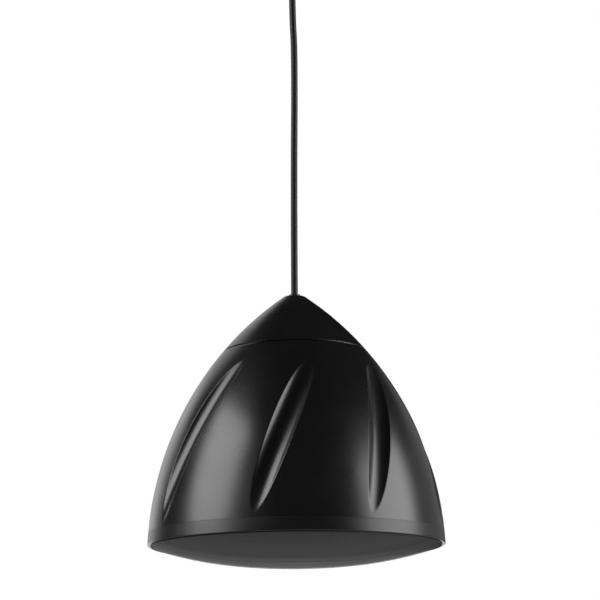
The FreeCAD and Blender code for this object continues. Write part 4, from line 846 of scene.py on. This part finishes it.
class SPEAKER_OT_cord(bpy.types.Operator):
    """Draws the suspension cord through its route's points"""
    bl_idname = "speaker.cord"
    bl_label = "Suspension cord"

    def execute(self, context):
        size = settings().speaker_cord
        curve = bpy.data.curves.new("suspension_line", "CURVE")
        curve.dimensions = "3D"
        curve.bevel_depth = size.diameter / 2
        curve.bevel_resolution = 7
        curve.resolution_u = 24
        curve.use_fill_caps = True
        line = curve.splines.new("NURBS")
        line.points.add(len(CORD_POINTS) - 1)
        line.points.foreach_set("co", np.c_[CORD_POINTS, np.ones(len(CORD_POINTS))].ravel())
        line.order_u = 3
        line.use_endpoint_u = True
        line.use_smooth = True
        curve.materials.append(finish("cord_jacket"))
        piece = bpy.data.objects.new("suspension_line", curve)
        context.scene.collection.objects.link(piece)
        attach(piece, "housing")
        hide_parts("suspension_cord")
        return {"FINISHED"}


class SPEAKER_OT_bell(bpy.types.Operator):
    """Makes the bell's shell with its soft-edged scoops, over its lining"""
    bl_idname = "speaker.bell"
    bl_label = "Bell"

    def execute(self, context):
        points, faces = bell_shape()
        new_piece("scooped_bell", points, faces.tolist(), "housing", "bell_plastic",
                  ["bell_shell"])
        dress("bell_shell", "damping_lining")
        return {"FINISHED"}


class SPEAKER_OT_cap(bpy.types.Operator):
    """Finishes the cap that lifts off the bell and its cord grommet"""
    bl_idname = "speaker.cap"
    bl_label = "Cap"

    def execute(self, context):
        dress("top_cap", "cap_grommet")
        return {"FINISHED"}


class SPEAKER_OT_rim(bpy.types.Operator):
    """Finishes the rim, the bass port in it and the screws that hold it"""
    bl_idname = "speaker.rim"
    bl_label = "Rim and port"

    def execute(self, context):
        dress("baffle", "bass_port", "baffle_screws")
        return {"FINISHED"}


class SPEAKER_OT_grille(bpy.types.Operator):
    """Makes the grille, its cloth and the soft black ring between its edge and the rim's lip, which
    darkens that gap as painted shade
    """
    bl_idname = "speaker.grille"
    bl_label = "Grille"

    def execute(self, context):
        grille = settings().speaker_grille
        dress("grille", "grille_cloth")
        points, faces = grille_shape()
        new_piece("domed_grille", points, faces, "housing", "grille_metal", ["grille"])
        edge = grille.radius - CLOTH_INSET
        below = grille_curve(grille.sheet + CLOTH_GAP, edge)
        above = grille_curve(grille.sheet + CLOTH_GAP + CLOTH_SHEET, edge)[::-1]
        points, faces = dome(np.concatenate([below, above]), CLOTH_COLUMNS)
        new_piece("domed_cloth", points, faces, "housing", "grille_cloth", ["grille_cloth"])
        # A black ring in the rubber's finish between the grille's edge and the lip, which darkens
        # the gap there as painted shade.
        inner, outer = grille.radius - SHADE_RING_OVERLAP, grille.radius + SHADE_RING_WIDTH
        low, high = -grille.shade_ring_drop, SHADE_RING_TOP
        points, faces = lathe(rounded([
            (inner, high, 0), (inner, low, 0.0001), (outer, low, 0.0004), (outer, high, 0)]),
            GRILLE_COLUMNS)
        new_piece("grille_shade_ring", points, faces.tolist(), "housing", "surround_rubber")
        return {"FINISHED"}


class SPEAKER_OT_driver(bpy.types.Operator):
    """Finishes the woofer and the tweeter in front of it"""
    bl_idname = "speaker.driver"
    bl_label = "Driver"

    def execute(self, context):
        dress("woofer_basket", "woofer_surround", "woofer_cone", "voice_coil", "spider", "top_plate",
              "magnet", "pole_piece", "woofer_terminal", "driver_screws")
        dress("tweeter_post", "tweeter_body", "tweeter_dome", "tweeter_guard")
        return {"FINISHED"}


class SPEAKER_OT_crossover(bpy.types.Operator):
    """Finishes the crossover's board and the components on it"""
    bl_idname = "speaker.crossover"
    bl_label = "Crossover"

    def execute(self, context):
        dress("crossover_board", "board_screws", "crossover_choke", "crossover_capacitors")
        return {"FINISHED"}


class SPEAKER_OT_wiring(bpy.types.Operator):
    """Finishes the terminal block and the wires inside the bell"""
    bl_idname = "speaker.wiring"
    bl_label = "Wiring"

    def execute(self, context):
        dress("terminal_block", "terminal_screws")
        dress("cord_cores", "input_lead", "output_lead", "speaker_leads")
        return {"FINISHED"}


class SPEAKER_OT_hanger(bpy.types.Operator):
    """Finishes the steel bridge that the bell hangs from and the gland that grips the cord"""
    bl_idname = "speaker.hanger"
    bl_label = "Hanger"

    def execute(self, context):
        dress("hanger_bridge", "hanger_bolts", "hanger_nuts", "hanger_backplate")
        dress("gland_body", "gland_nut", "gland_locknut", "cord_ferrule")
        return {"FINISHED"}


class SPEAKER_OT_taps(bpy.types.Operator):
    """Finishes the power tap switch and its line transformer"""
    bl_idname = "speaker.taps"
    bl_label = "Power taps"

    def execute(self, context):
        dress("tap_switch", "switch_nut", "tap_shaft", "tap_knob")
        dress("transformer_core", "transformer_coil", "transformer_strap", "transformer_screws")
        return {"FINISHED"}


class SPEAKER_OT_rose(bpy.types.Operator):
    """Finishes the ceiling rose and the cord grip under it"""
    bl_idname = "speaker.rose"
    bl_label = "Ceiling rose"

    def execute(self, context):
        dress("ceiling_plate", "nipple", "ceiling_canopy", "grip_body", "grip_nut", "grip_sleeve")
        return {"FINISHED"}


class SPEAKER_PT_panel(bpy.types.Panel):
    """The loudspeaker's pieces in the sidebar"""
    bl_idname = "SPEAKER_PT_panel"
    bl_label = "Pendant loudspeaker"
    bl_space_type = "VIEW_3D"
    bl_region_type = "UI"
    bl_category = "Pendant loudspeaker"

    def draw(self, context):
        for group, operators in PANEL.items():
            box = self.layout.box()
            for name in GROUPS[group].__annotations__:
                box.prop(getattr(context.scene, group), name)
            for operator in operators:
                box.operator(operator.bl_idname)


# The operators in the order that the scene is built in, and the panel's groups of them.
PIECES = [
    SPEAKER_OT_stage, SPEAKER_OT_cord, SPEAKER_OT_bell, SPEAKER_OT_cap, SPEAKER_OT_rim,
    SPEAKER_OT_grille, SPEAKER_OT_driver, SPEAKER_OT_crossover, SPEAKER_OT_wiring,
    SPEAKER_OT_hanger, SPEAKER_OT_taps, SPEAKER_OT_rose,
]
GROUPS = {
    "speaker_stage": StageSettings,
    "speaker_cord": CordSettings,
    "speaker_bell": BellSettings,
    "speaker_grille": GrilleSettings,
}
PANEL = {
    "speaker_stage": [SPEAKER_OT_stage],
    "speaker_cord": [SPEAKER_OT_cord, SPEAKER_OT_rose, SPEAKER_OT_hanger, SPEAKER_OT_wiring],
    "speaker_bell": [SPEAKER_OT_bell, SPEAKER_OT_cap, SPEAKER_OT_rim, SPEAKER_OT_taps],
    "speaker_grille": [SPEAKER_OT_grille, SPEAKER_OT_driver, SPEAKER_OT_crossover],
}
CLASSES = [*GROUPS.values(), *PIECES, SPEAKER_PT_panel]


def register():
    for item in CLASSES:
        bpy.utils.register_class(item)
    for name, group in GROUPS.items():
        setattr(bpy.types.Scene, name, bpy.props.PointerProperty(type=group))


def unregister():
    for name in GROUPS:
        delattr(bpy.types.Scene, name)
    for item in reversed(CLASSES):
        bpy.utils.unregister_class(item)


def main():
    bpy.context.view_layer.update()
    register()
    for piece in PIECES:
        getattr(bpy.ops.speaker, piece.bl_idname.split(".")[1])()


if __name__ == "__main__":
    main()
